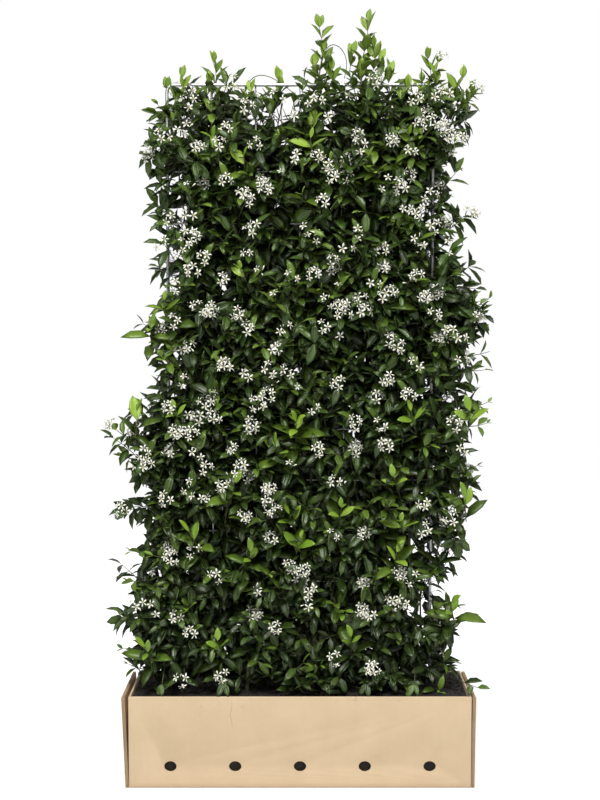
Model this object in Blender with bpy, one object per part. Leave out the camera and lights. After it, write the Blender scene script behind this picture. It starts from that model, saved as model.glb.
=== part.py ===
"""Star jasmine screen: four climbing plants in flower on a welded wire frame, in a cardboard planter.

Metres, +Z up. The origin is at the middle of the planter's underside, and the front of the screen faces -Y.
"""

import random
from math import cos, pi, radians, sin

import bmesh
import bpy
from mathutils import Matrix, Vector, noise
from mathutils.bvhtree import BVHTree

# Planter: a corrugated tray with a glued end panel at each end
TRAY_LENGTH = 1.000
TRAY_DEPTH = 0.300
TRAY_HEIGHT = 0.270
TRAY_WALL = 0.007
TRAY_CORNER = 0.006
END_WALL = 0.009
END_DROP = 0.003
END_SPLAY = {"left": 0.011, "right": 0.003}
SEAT_GAP = 0.0003
HOLE_COUNT = 5
HOLE_PITCH = 0.189
HOLE_WIDTH = 0.036
HOLE_HEIGHT = 0.031
HOLE_RISE = 0.064

# Soil
SOIL_RISE = 0.262
SOIL_BUMP = 0.007
SOIL_CELLS = (14, 4)

# Welded wire frame: a bent hoop with a grid of wires inside it
HOOP_WIDTH = 0.780
HOOP_TOP = 2.050
HOOP_RADIUS = 0.005
HOOP_CORNER = 0.022
HOOP_FOOT = 0.012
WIRE_RADIUS = 0.0025
WIRE_COLUMNS = 5
WIRE_PITCH_X = HOOP_WIDTH / (WIRE_COLUMNS + 1)
WIRE_ROWS = 11
FIRST_ROW_DROP = 0.100
WIRE_PITCH_Z = 0.152
WIRE_BITE = 0.0006
WIRE_CLEARANCE = 0.0008

# Plants: their trunks, as (across from the plant's middle, depth), and the dense middle behind the wires
PLANT_COUNT = 4
TRUNK_RADIUS = 0.0065
TRUNK_FOOT = 0.120
TRUNK_SPOTS = ((-0.060, -0.030), (0.030, 0.028))
TRUNK_BEND = 0.020
TRUNK_REACH = 0.110
TRUNK_HOLE = 1.2 * TRUNK_RADIUS
CORE_BOTTOM = 0.330
CORE_TOP = 1.975
CORE_FRONT = 0.036
CORE_DEPTH = 0.022
CORE_INSET = 0.050
COVER_WIDTH = 0.066
COVER_HEIGHT = 0.104
COVER_LIFT = 0.024
COVER_FALL = 0.62
CORE_SHRINK = 0.98
ROUGH_UP = 0.026
ROUGH_ACROSS = 0.020
ROUGH_DEEP = 0.006
ROUGH_TIP = 0.016
ZONE_WAVES = ((0.016, 9.0, 2.1), (0.008, 23.0, 1.0))
ZONE_MARGIN = 0.008
FAR = 9.0

# Shoots: rows of them on each side of the screen, and what they may be nudged by to stay clear
ROOT_DEPTH = CORE_FRONT + CORE_DEPTH / 2
SHOOT_RADIUS = 0.0021
SHOOT_NUDGE = 0.030
SHOOT_TRIES = 5
SHOOT_LOW = 0.36
SIDE_SHOOTS = 11
SIDE_HIGH = 2.02
SIDE_DEPTHS = (-0.050, 0.045, -0.015)
FACE_HIGH = 1.97
FRONT_GRID = (7, 8)
FRONT_LENGTH = (0.115, 0.165)
BACK_GRID = (4, 4)
BACK_LENGTH = (0.080, 0.105)
BACK_FLOWERING = 0.3

# Leaves and flowers
NODE_HEIGHT = 0.004
PAIR_PITCH = 0.034
MOST_PAIRS = 2
LEAF_LENGTH = 0.084
LEAF_WIDTH = 0.042
LEAF_THICKNESS = 0.0022
LEAF_WIDEST = 0.44
LEAF_FOLD = 0.20
LEAF_ARCH = 0.12
LEAF_DROOP = 0.22
LEAF_SPREAD = (42, 80)
LEAF_SWAY = 0.55
LEAF_SIZES = (0.82, 1.10)
LEAF_TRIES = 8
FLORET_RADIUS = 0.0140
FLORET_RISE = 0.0032
FLORET_NOTCH = 0.38
PEDICEL_LENGTH = 0.020
PEDICEL_RADIUS = 0.0010
STALK_RADIUS = 0.0022
STALK_LENGTH = 0.024
BRANCH_RISE = 0.007
BRANCH_LEAN = 72
HEAD_COUNT = 34
TIP_FLORET_SHARE = 0.75

# Reach of the foliage to the left and right at each height, from the planter's rim up to the rail
OUTLINE = (
    (0.28, -0.52, 0.51),
    (0.40, -0.55, 0.50),
    (0.52, -0.51, 0.47),
    (0.64, -0.48, 0.49),
    (0.80, -0.50, 0.52),
    (1.00, -0.55, 0.55),
    (1.10, -0.50, 0.55),
    (1.18, -0.41, 0.51),
    (1.30, -0.45, 0.56),
    (1.42, -0.42, 0.56),
    (1.57, -0.44, 0.49),
    (1.77, -0.45, 0.48),
    (1.92, -0.44, 0.50),
    (2.02, -0.45, 0.52),
    (2.06, -0.40, 0.43),
)

# Young shoots that stand above the rail: place along it, height of the tip and sideways lean
TOP_SHOOTS = (
    (-0.34, 2.10, -0.05),
    (-0.25, 2.15, -0.01),
    (-0.08, 2.11, 0.05),
    (0.05, 2.26, -0.02),
    (0.12, 2.13, 0.04),
    (0.19, 2.27, 0.03),
    (0.30, 2.09, 0.05),
    (0.37, 2.17, 0.00),
)

# Quarters round a side face, as (high on the stem, on its right)
LEAF_CORNERS = ((True, False), (True, True), (False, True), (False, False))

# Colour, roughness and metallic value of each material
MATERIALS = {
    "cardboard": ((0.56, 0.40, 0.26), 0.85, 0.0),
    "cardboard_end": ((0.50, 0.35, 0.22), 0.88, 0.0),
    "compost": ((0.030, 0.022, 0.016), 0.95, 0.0),
    "galvanised_wire": ((0.58, 0.59, 0.58), 0.38, 1.0),
    "leaves": ((0.035, 0.105, 0.028), 0.38, 0.0),
    "petals": ((0.90, 0.90, 0.84), 0.55, 0.0),
}


def clear_scene():
    for obj in list(bpy.data.objects):
        bpy.data.objects.remove(obj)


def new_collection(name):
    made = bpy.data.collections.new(name)
    bpy.context.scene.collection.children.link(made)
    return made


def object_of(name, bm, collection):
    """A mesh object made from a bmesh, which is freed."""
    mesh = bpy.data.meshes.new(name)
    bm.to_mesh(mesh)
    bm.free()
    made = bpy.data.objects.new(name, mesh)
    collection.objects.link(made)
    return made


def helper(obj):
    obj.hide_render = True
    obj.display_type = "WIRE"
    return obj


def paint(obj, slot):
    """Gives an object its own material."""
    colour, roughness, metallic = MATERIALS[slot]
    made = bpy.data.materials.new(slot)
    made.use_nodes = True
    shader = made.node_tree.nodes["Principled BSDF"]
    shader.inputs["Base Color"].default_value = (*colour, 1)
    shader.inputs["Roughness"].default_value = roughness
    shader.inputs["Metallic"].default_value = metallic
    obj.data.materials.clear()
    obj.data.materials.append(made)


def box_mesh(low, high):
    bm = bmesh.new()
    bmesh.ops.create_cube(bm, size=1)
    low, high = Vector(low), Vector(high)
    for v in bm.verts:
        v.co = Vector(low[k] + (v.co[k] + 0.5) * (high[k] - low[k]) for k in range(3))
    return bm


def box(name, low, high, collection):
    return object_of(name, box_mesh(low, high), collection)


def turned_to(direction, at):
    """The matrix that stands +Z along a direction at a point."""
    return Matrix.Translation(at) @ Vector(direction).to_track_quat("Z", "Y").to_matrix().to_4x4()


def rod(name, start, end, radius, sides, collection, end_radius=None):
    start, end = Vector(start), Vector(end)
    bm = bmesh.new()
    bmesh.ops.create_cone(
        bm,
        cap_ends=True,
        segments=sides,
        radius1=radius,
        radius2=radius if end_radius is None else end_radius,
        depth=(end - start).length,
    )
    bm.transform(turned_to(end - start, (start + end) / 2))
    return object_of(name, bm, collection)


def tube(name, points, radius, collection, resolution=0):
    """A round bar along points, as a closed mesh."""
    curve = bpy.data.curves.new(name, "CURVE")
    curve.dimensions = "3D"
    curve.bevel_depth = radius
    curve.bevel_resolution = resolution
    curve.use_fill_caps = True
    spline = curve.splines.new("POLY")
    spline.points.add(len(points) - 1)
    for place, point in zip(spline.points, points):
        place.co = (*point, 1)
    guide = bpy.data.objects.new(name + "_curve", curve)
    collection.objects.link(guide)
    bpy.context.view_layer.update()
    mesh = bpy.data.meshes.new_from_object(guide.evaluated_get(bpy.context.evaluated_depsgraph_get()))
    bpy.data.objects.remove(guide)
    bm = bmesh.new()
    bm.from_mesh(mesh)
    bpy.data.meshes.remove(mesh)
    bmesh.ops.remove_doubles(bm, verts=bm.verts, dist=1e-5)
    bmesh.ops.recalc_face_normals(bm, faces=bm.faces)
    return object_of(name, bm, collection)


def boolean(obj, operation, others):
    """Applies one Boolean of obj with the objects in a collection."""
    modifier = obj.modifiers.new(operation.lower(), "BOOLEAN")
    modifier.operation = operation
    modifier.operand_type = "COLLECTION"
    modifier.collection = others
    modifier.solver = "EXACT"
    bpy.context.view_layer.update()
    old = obj.data
    obj.data = bpy.data.meshes.new_from_object(
        obj.evaluated_get(bpy.context.evaluated_depsgraph_get())
    )
    obj.modifiers.clear()
    bpy.data.meshes.remove(old)
    return obj


def keep_main_body(obj):
    """Fills the hollows that a union sealed and drops its loose scraps: only the largest shell stays."""
    bm = bmesh.new()
    bm.from_mesh(obj.data)
    left, shells = set(bm.faces), []
    while left:
        shell, edge_of = set(), [left.pop()]
        while edge_of:
            face = edge_of.pop()
            shell.add(face)
            near = {f for e in face.edges for f in e.link_faces if f in left}
            left -= near
            edge_of += near
        shells.append(shell)
    shells.sort(key=len)
    for shell in shells[:-1]:
        bmesh.ops.delete(bm, geom=list(shell), context="FACES")
    bm.to_mesh(obj.data)
    bm.free()


def discard(collection):
    for obj in list(collection.objects):
        bpy.data.objects.remove(obj)
    bpy.data.collections.remove(collection)


def surface_of(objects):
    """The surface of some objects, to find what would cross it."""
    points, faces = [], []
    for obj in objects:
        start = len(points)
        points += [obj.matrix_world @ v.co for v in obj.data.vertices]
        faces += [[start + i for i in p.vertices] for p in obj.data.polygons]
    return BVHTree.FromPolygons(points, faces)


def make_tray(collection):
    half, depth = TRAY_LENGTH / 2, TRAY_DEPTH / 2
    bm = box_mesh((-half, -depth, 0), (half, depth, TRAY_HEIGHT))
    uprights = [e for e in bm.edges if abs(e.verts[0].co.z - e.verts[1].co.z) > TRAY_HEIGHT / 2]
    bmesh.ops.bevel(bm, geom=uprights, offset=TRAY_CORNER, segments=3, affect="EDGES")
    tray = object_of("planter_tray", bm, collection)
    cutters = new_collection("tray_cutters")
    inside = TRAY_WALL
    box(
        "tray_hollow",
        (-half + inside, -depth + inside, TRAY_WALL),
        (half - inside, depth - inside, 2 * TRAY_HEIGHT),
        cutters,
    )
    for i in range(HOLE_COUNT):
        x = (i - (HOLE_COUNT - 1) / 2) * HOLE_PITCH
        hole = rod(f"hole_{i}", (0, -depth, 0), (0, depth, 0), HOLE_WIDTH / 2, 12, cutters)
        stretch = Matrix.Diagonal((1, 1.2, HOLE_HEIGHT / HOLE_WIDTH, 1))
        hole.data.transform(Matrix.Translation((x, 0, HOLE_RISE)) @ stretch)
    boolean(tray, "DIFFERENCE", cutters)
    discard(cutters)
    return tray


def make_end(side, collection):
    """One end panel, leaning outwards from its foot."""
    sign = -1 if side == "left" else 1
    inner = TRAY_LENGTH / 2 + SEAT_GAP
    half = TRAY_DEPTH / 2
    high = (inner + END_WALL, half, TRAY_HEIGHT - END_DROP)
    panel = box(f"planter_end_{side}", (inner, -half, 0), high, collection)
    for v in panel.data.vertices:
        v.co.x += END_SPLAY[side] * v.co.z / TRAY_HEIGHT
        v.co.x *= sign
    if sign < 0:
        panel.data.flip_normals()
    return panel


def make_frame(name, grow, collection):
    """The hoop and its welded grid. grow thickens every bar, which gives the channels round them."""
    half = HOOP_WIDTH / 2
    foot = HOOP_FOOT - grow
    corner = [pi / 2 * k / 3 for k in range(4)]
    bend = [(half - HOOP_CORNER * (1 - cos(a)), HOOP_TOP - HOOP_CORNER * (1 - sin(a))) for a in corner]
    right = [(half, foot)] + bend
    route = [(x, 0, z) for x, z in right] + [(-x, 0, z) for x, z in reversed(right)]
    hoop = tube(name, route, HOOP_RADIUS + grow, collection, resolution=1)
    wires = new_collection(name + "_wires")
    offset = WIRE_RADIUS - WIRE_BITE
    for i in range(WIRE_COLUMNS):
        x = (i + 1) * WIRE_PITCH_X - half
        rod(f"wire_up_{i}", (x, offset, foot), (x, offset, HOOP_TOP), WIRE_RADIUS + grow, 4, wires)
    for k in range(WIRE_ROWS):
        z = HOOP_TOP - FIRST_ROW_DROP - k * WIRE_PITCH_Z
        rod(f"wire_across_{k}", (-half, -offset, z), (half, -offset, z), WIRE_RADIUS + grow, 4, wires)
    boolean(hoop, "UNION", wires)
    discard(wires)
    return hoop


def plant_middle(i):
    return (i - (PLANT_COUNT - 1) / 2) * HOOP_WIDTH / PLANT_COUNT


def trunk_places():
    """Two trunks for each plant, one in front of the wires and one behind them."""
    return [[(plant_middle(i) + dx, y) for dx, y in TRUNK_SPOTS] for i in range(PLANT_COUNT)]


def make_soil(frame_channels, collection):
    half = TRAY_LENGTH / 2 - TRAY_WALL - SEAT_GAP
    depth = TRAY_DEPTH / 2 - TRAY_WALL - SEAT_GAP
    bm = box_mesh((-half, -depth, TRAY_WALL + SEAT_GAP), (half, depth, SOIL_RISE))
    for axis, cells, reach in ((0, SOIL_CELLS[0], half), (1, SOIL_CELLS[1], depth)):
        for i in range(1, cells):
            place = Vector((0, 0, 0))
            place[axis] = -reach + 2 * reach * i / cells
            normal = Vector((axis == 0, axis == 1, 0))
            geometry = [g for g in bm.verts[:] + bm.edges[:] + bm.faces[:]]
            bmesh.ops.bisect_plane(bm, geom=geometry, plane_co=place, plane_no=normal)
    for v in bm.verts:
        if v.co.z > SOIL_RISE / 2:
            v.co.z += SOIL_BUMP * noise.noise(v.co * 14)
    bottom = [f for f in bm.faces if f.normal.z < -0.9]
    bmesh.ops.dissolve_faces(bm, faces=bottom)
    soil = object_of("soil", bm, collection)
    holes = new_collection("soil_holes")
    holes.objects.link(frame_channels)
    for i, pair in enumerate(trunk_places()):
        for j, (x, y) in enumerate(pair):
            start, end = (x, y, TRUNK_FOOT), (x, y, 2 * SOIL_RISE)
            rod(f"hole_{i}_{j}", start, end, TRUNK_HOLE, 8, holes)
    boolean(soil, "DIFFERENCE", holes)
    holes.objects.unlink(frame_channels)
    discard(holes)
    return soil


def edges_at(z):
    """(left, right) reach of the leaves at a height."""
    z = min(max(z, OUTLINE[0][0]), OUTLINE[-1][0])
    for low, high in zip(OUTLINE, OUTLINE[1:]):
        if z <= high[0]:
            share = (z - low[0]) / (high[0] - low[0])
            return tuple(low[k] + share * (high[k] - low[k]) for k in (1, 2))
    return OUTLINE[-1][1:]


def zone_edge(i, z):
    """The wavy line between plant i - 1 and plant i."""
    if i in (0, PLANT_COUNT):
        return -FAR if i == 0 else FAR
    middle = (i / PLANT_COUNT - 0.5) * HOOP_WIDTH
    return middle + sum(size * sin(pitch * z + turn * i) for size, pitch, turn in ZONE_WAVES)


def in_zone(i, x, z, margin=0.0):
    return zone_edge(i, z) + margin < x < zone_edge(i + 1, z) - margin


def plant_at(x, z):
    return next((i for i in range(PLANT_COUNT) if x < zone_edge(i + 1, z)), PLANT_COUNT - 1)


def in_core(i, x, z):
    left, right = edges_at(z)
    inside = CORE_BOTTOM < z < CORE_TOP and left + CORE_INSET < x < right - CORE_INSET
    return inside and in_zone(i, x, z)


def roughen_core(i, bm):
    """Shifts the corners of a core, so that its leaves aren't in straight rows."""
    middle = plant_middle(i)
    for v in bm.verts:
        place = v.co * 31
        sway = noise.noise(Vector((place.x, 0, place.z)))
        v.co.z += ROUGH_UP * noise.noise(Vector((place.z, 9, place.x)))
        v.co.x = middle + (v.co.x + ROUGH_ACROSS * sway - middle) * CORE_SHRINK
        v.co.y += ROUGH_DEEP * noise.noise(place)
    bm.normal_update()


def raise_leaf(bm, face, out):
    """Pokes one diamond of a core into a leaf that hangs down, with its tip stood out."""
    low = min(face.verts, key=lambda v: v.co.z).co.copy()
    centre = face.calc_center_median()
    tip = bmesh.ops.poke(bm, faces=[face])["verts"][0]
    chance = noise.noise(centre * 53)
    tip.co = centre.lerp(low, COVER_FALL)
    tip.co += Vector((ROUGH_TIP * chance, out * COVER_LIFT * (0.75 + 0.5 * abs(chance)), 0))


def make_core(i, collection):
    """The dense middle of one plant, behind the wires, with leaves lying all over it like shingles."""
    bm = bmesh.new()
    count = 2 * round((CORE_TOP - CORE_BOTTOM) / COVER_HEIGHT + 0.5)
    bmesh.ops.create_grid(bm, x_segments=count, y_segments=count, size=count / 2)
    bmesh.ops.rotate(bm, verts=bm.verts, matrix=Matrix.Rotation(pi / 4, 3, "Z"))
    for v in bm.verts:
        x, along, _ = v.co / 2**0.5
        v.co = (x * COVER_WIDTH, CORE_FRONT, (CORE_BOTTOM + CORE_TOP) / 2 + along * COVER_HEIGHT)
    centres = {f: f.calc_center_median() for f in bm.faces}
    outside = [f for f, centre in centres.items() if not in_core(i, centre.x, centre.z)]
    bmesh.ops.delete(bm, geom=outside, context="FACES")
    front = list(bm.faces)
    grown = bmesh.ops.extrude_face_region(bm, geom=front)["geom"]
    back = [g for g in grown if isinstance(g, bmesh.types.BMFace)]
    for v in {v for f in back for v in f.verts}:
        v.co.y += CORE_DEPTH
    roughen_core(i, bm)
    for faces, out in ((front, -1), (back, 1)):
        for face in faces:
            raise_leaf(bm, face, out)
    bmesh.ops.recalc_face_normals(bm, faces=bm.faces)
    return object_of(f"plant_{i + 1}", bm, collection)


def floret_mesh():
    """A flat star of five petals with a low middle."""
    bm = bmesh.new()
    bmesh.ops.create_cone(
        bm, cap_ends=True, segments=10, radius1=FLORET_RADIUS, radius2=0, depth=FLORET_RISE
    )
    notches = {round(k * 2 * pi / 5, 2) for k in range(6)}
    for v in bm.verts:
        if v.co.xy.length < FLORET_RADIUS / 2:
            continue
        turn = v.co.to_2d().angle_signed(Vector((1, 0)), 0) % (2 * pi)
        if min(abs(turn - n) for n in notches) < 0.1:
            v.co.x *= FLORET_NOTCH
            v.co.y *= FLORET_NOTCH
    return bm


def fans(way, lean, count, start):
    """Directions that lean out from another, spread evenly round it."""
    across = way.orthogonal().normalized()
    across.rotate(Matrix.Rotation(start, 3, way))
    for _ in range(count):
        yield (way * cos(lean) + across * sin(lean)).normalized()
        across.rotate(Matrix.Rotation(2 * pi / count, 3, way))


def add_floret(name, start, end, turn, collection):
    """One flower: its thin stalk and its star, as two solids that overlap."""
    way = (end - start).normalized()
    rod(name + "_stalk", start, end + way * FLORET_RISE * 0.4, PEDICEL_RADIUS, 3, collection)
    bm = floret_mesh()
    bm.transform(turned_to(way, end + way * FLORET_RISE / 2) @ Matrix.Rotation(turn, 4, "Z"))
    return object_of(name, bm, collection)


def make_head(name, rng, at, way, collection):
    """A head of three starry flowers that branch from one stalk, joined into one solid."""
    start = at + way * SEAT_GAP
    end = start + way * STALK_LENGTH
    stalk = rod(name, start, end + way * FLORET_RISE * 0.4, STALK_RADIUS, 3, collection)
    pieces = new_collection(name + "_pieces")
    bm = floret_mesh()
    bm.transform(turned_to(way, end + way * FLORET_RISE / 2) @ Matrix.Rotation(rng.uniform(0, pi), 4, "Z"))
    object_of(name + "_star", bm, pieces)
    for k, out in enumerate(fans(way, radians(BRANCH_LEAN), 2, rng.uniform(0, 2 * pi))):
        branch = start + way * BRANCH_RISE * (k + 1)
        add_floret(f"{name}_{k}", branch, branch + out * PEDICEL_LENGTH * 1.1, rng.uniform(0, pi), pieces)
    boolean(stalk, "UNION", pieces)
    discard(pieces)
    return stalk


def make_star(name, at, way, collection):
    """A single flower that sits on the end of a shoot."""
    bm = floret_mesh()
    bm.transform(turned_to(way, at - way * FLORET_RISE * 0.1))
    return object_of(name, bm, collection)


def middle_and_reach(points):
    centre = sum(points, Vector()) / len(points)
    return centre, max((p - centre).length for p in points)


class Clearance:
    """The surfaces placed so far, to find what a new piece would cross."""

    def __init__(self, fixed, cores):
        self.fixed = fixed
        self.cores = cores
        self.placed = []

    def crosses(self, points, tree, owner, clear_of_cores=True):
        if tree.overlap(self.fixed) or (clear_of_cores and tree.overlap(self.cores)):
            return True
        centre, reach = middle_and_reach(points)
        for other_centre, other_reach, other, other_owner in self.placed:
            if other_owner == owner or (other_centre - centre).length > reach + other_reach:
                continue
            if tree.overlap(other):
                return True
        return False

    def add(self, points, tree, owner):
        self.placed.append((*middle_and_reach(points), tree, owner))


def tree_of(obj):
    points = [v.co.copy() for v in obj.data.vertices]
    return points, BVHTree.FromPolygons(points, [list(p.vertices) for p in obj.data.polygons])


def tree_of_bmesh(bm):
    return [v.co.copy() for v in bm.verts], BVHTree.FromBMesh(bm)


def top_shoots():
    """Shoots that stand above the rail."""
    for x, top, lean in TOP_SHOOTS:
        root = Vector((x - lean * 0.4, ROOT_DEPTH, CORE_TOP - 0.09))
        tip = Vector((x + lean * 0.6, 0.020, top - 0.05))
        yield root, tip - root, False


def side_shoots(rng):
    """Shoots that reach out past the frame, to the left and to the right."""
    for sign in (-1, 1):
        for k in range(SIDE_SHOOTS):
            z = SHOOT_LOW + (k + 0.5) * (SIDE_HIGH - SHOOT_LOW) / SIDE_SHOOTS
            left, right = edges_at(z)
            reach = right if sign > 0 else -left
            depth = SIDE_DEPTHS[k % len(SIDE_DEPTHS)]
            low = min(z, CORE_TOP - 0.06) - 0.02
            root = Vector((sign * (reach - CORE_INSET - 0.045), ROOT_DEPTH, low))
            tip = Vector((sign * (reach - 0.035), depth, z + rng.uniform(0.0, 0.04)))
            yield root, tip - root, k % 3 == 0


def face_shoots(rng, side, grid, lengths, flowering):
    """Shoots in staggered rows over the front or the back."""
    columns, rows = grid
    for row in range(rows):
        for column in range(columns):
            z = SHOOT_LOW + (row + 0.5 + rng.uniform(-0.3, 0.3)) * (FACE_HIGH - SHOOT_LOW) / rows
            left, right = edges_at(z)
            low, high = left + CORE_INSET + 0.02, right - CORE_INSET - 0.02
            stagger = 0.22 if row % 2 else -0.22
            share = (column + 0.5 + stagger + rng.uniform(-0.2, 0.2)) / columns
            x = low + min(max(share, 0), 1) * (high - low)
            way = Vector((rng.uniform(-0.8, 0.8), side, rng.uniform(-0.3, 0.7))).normalized()
            run = way * rng.uniform(*lengths)
            yield Vector((x, ROOT_DEPTH, z)), run, flowering == 1 or rng.random() < flowering


def shoot_plan(rng):
    """Root, run and flowering of every leafy shoot."""
    plan = [*top_shoots(), *side_shoots(rng)]
    plan += face_shoots(rng, -1, FRONT_GRID, FRONT_LENGTH, 1)
    plan += face_shoots(rng, 1, BACK_GRID, BACK_LENGTH, BACK_FLOWERING)
    return plan


def leaf_way(way, normal, around, out, rng):
    """A leaf's direction: spread from its stem, swayed round it and hanging a little."""
    spread = radians(rng.uniform(*LEAF_SPREAD))
    sway = rng.uniform(-LEAF_SWAY, LEAF_SWAY)
    outward = (out + normal * 0.6 + around * sway).normalized()
    return (way * cos(spread) + outward * sin(spread) + Vector((0, 0, -LEAF_DROOP))).normalized()


def leaf_points(centre, way, along, size):
    """The four middle corners of a leaf and its tip: folded up along the rib, arched down at the tip."""
    length, width = LEAF_LENGTH * size, LEAF_WIDTH * size
    up = (way - along * way.dot(along)).normalized()
    middle = centre + along * length * LEAF_WIDEST
    rib = up * LEAF_THICKNESS / 2
    lift = up * width * LEAF_FOLD
    side = up.cross(along) * width / 2
    tip = centre + along * length - up * length * LEAF_ARCH
    return middle + rib, middle + side + lift, middle - rib, middle - side + lift, tip


def corners_round(face, centre, way, around):
    """A side face's corners in turn, from one that is high on the stem."""

    def quarter(v):
        off = v.co - centre
        return LEAF_CORNERS.index((off.dot(way) > 0, off.dot(around) > 0))

    return sorted(face.verts, key=quarter)


def leaf_tree(corners, points):
    """The surface that a leaf would have, from just off its stem to its tip."""
    base = [v.co.lerp(points[k], 0.05) for k, v in enumerate(corners)]
    sides = [(k, (k + 1) % 4, 4 + (k + 1) % 4, 4 + k) for k in range(4)]
    ends = [(4 + k, 4 + (k + 1) % 4, 8) for k in range(4)]
    return BVHTree.FromPolygons(base + list(points), sides + ends)


def draw_leaf(bm, face, corners, points):
    """Extrudes a side face to the leaf's middle and on to its tip, with walls split alike."""
    grown = bmesh.ops.extrude_discrete_faces(bm, faces=[face])["faces"][0]
    middle = [min(grown.verts, key=lambda v: (v.co - corner.co).length) for corner in corners]
    walls = {e.link_faces[0] if e.link_faces[1] is grown else e.link_faces[1] for e in grown.edges}
    for v, place in zip(middle, points):
        v.co = place
    for k in range(4):
        ends = {middle[k], corners[(k + 1) % 4]}
        wall = next(w for w in walls if ends < set(w.verts))
        bmesh.utils.face_split(wall, *ends)
    bmesh.ops.poke(bm, faces=[grown])["verts"][0].co = points[4]


def grow_leaf(bm, face, way, out, rng, clear, owner):
    """Draws one side face of a shoot out into a leaf, in a direction that is clear of everything else."""
    centre, normal = face.calc_center_median(), face.normal.copy()
    around = way.cross(normal)
    corners = corners_round(face, centre, way, around)
    for _ in range(LEAF_TRIES):
        along = leaf_way(way, normal, around, out, rng)
        if along.dot(normal) < 0.45:
            continue
        points = leaf_points(centre, way, along, rng.uniform(*LEAF_SIZES))
        tree = leaf_tree(corners, points)
        if not clear.crosses(list(points), tree, ("leaf", owner)):
            clear.add(list(points), tree, "leaf")
            draw_leaf(bm, face, corners, points)
            return


def stem_with_nodes(length, pairs):
    """An upright stem with a short band of its sides cut off for each pair of leaves."""
    bm = bmesh.new()
    bmesh.ops.create_cone(
        bm, cap_ends=True, segments=3, radius1=SHOOT_RADIUS * 1.25, radius2=SHOOT_RADIUS, depth=length
    )
    heights = [length / 2 - 0.004 - NODE_HEIGHT / 2 - k * PAIR_PITCH for k in range(pairs)]
    for height in heights:
        for edge in (-NODE_HEIGHT / 2, NODE_HEIGHT / 2):
            geometry = bm.verts[:] + bm.edges[:] + bm.faces[:]
            bmesh.ops.bisect_plane(bm, geom=geometry, plane_co=(0, 0, height + edge), plane_no=(0, 0, 1))
    return bm, heights


def opposite_sides(bm, heights, turn):
    """For each band, the two side faces that its leaves grow from."""
    turned = Matrix.Rotation(turn, 3, "Z")
    sides = []
    for k, height in enumerate(heights):
        ring = [f for f in bm.faces if abs(f.calc_center_median().z - height) < NODE_HEIGHT / 4]
        ring = sorted((f for f in ring if abs(f.normal.z) < 0.5), key=lambda f: f.normal.x)
        sides.append((ring[0], ring[-1]) if k % 2 == 0 else (ring[1], ring[0]))
    bmesh.ops.rotate(bm, verts=bm.verts, matrix=turned)
    return sides


def grow_shoot(name, root, run, rng, clear, owner, growth):
    """A leafy shoot: a three-sided stem whose faces are drawn out into opposite pairs of leaves."""
    pairs = max(1, round((run.length - 0.03) / PAIR_PITCH))
    if (root + run).z < HOOP_TOP:
        pairs = min(pairs, MOST_PAIRS)
    bm, heights = stem_with_nodes(run.length, pairs)
    sides = opposite_sides(bm, heights, rng.uniform(0, pi))
    bm.transform(turned_to(run, root + run / 2))
    bm.normal_update()
    if clear.crosses(*tree_of_bmesh(bm), owner, clear_of_cores=False):
        bm.free()
        return None
    for pair in sides:
        apart = (pair[0].normal - pair[1].normal).normalized()
        for face, out in zip(pair, (apart, -apart)):
            grow_leaf(bm, face, run.normalized(), out, rng, clear, owner)
    bmesh.ops.triangulate(bm, faces=[f for f in bm.faces if len(f.verts) > 3])
    bmesh.ops.recalc_face_normals(bm, faces=bm.faces)
    clear.add(*tree_of_bmesh(bm), owner)
    return object_of(name, bm, growth)


def grow_trunks(i, clear, growth):
    for j, (x, y) in enumerate(trunk_places()[i]):
        foot = Vector((x, y, TRUNK_FOOT + SEAT_GAP))
        bend = Vector((x, y, SOIL_RISE + TRUNK_BEND))
        top = Vector((x, ROOT_DEPTH, CORE_BOTTOM + TRUNK_REACH))
        trunk = tube(f"trunk_{i}_{j}", (foot, bend, top), TRUNK_RADIUS, growth, resolution=1)
        clear.add(*tree_of(trunk), ("trunk", i, j))


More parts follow.
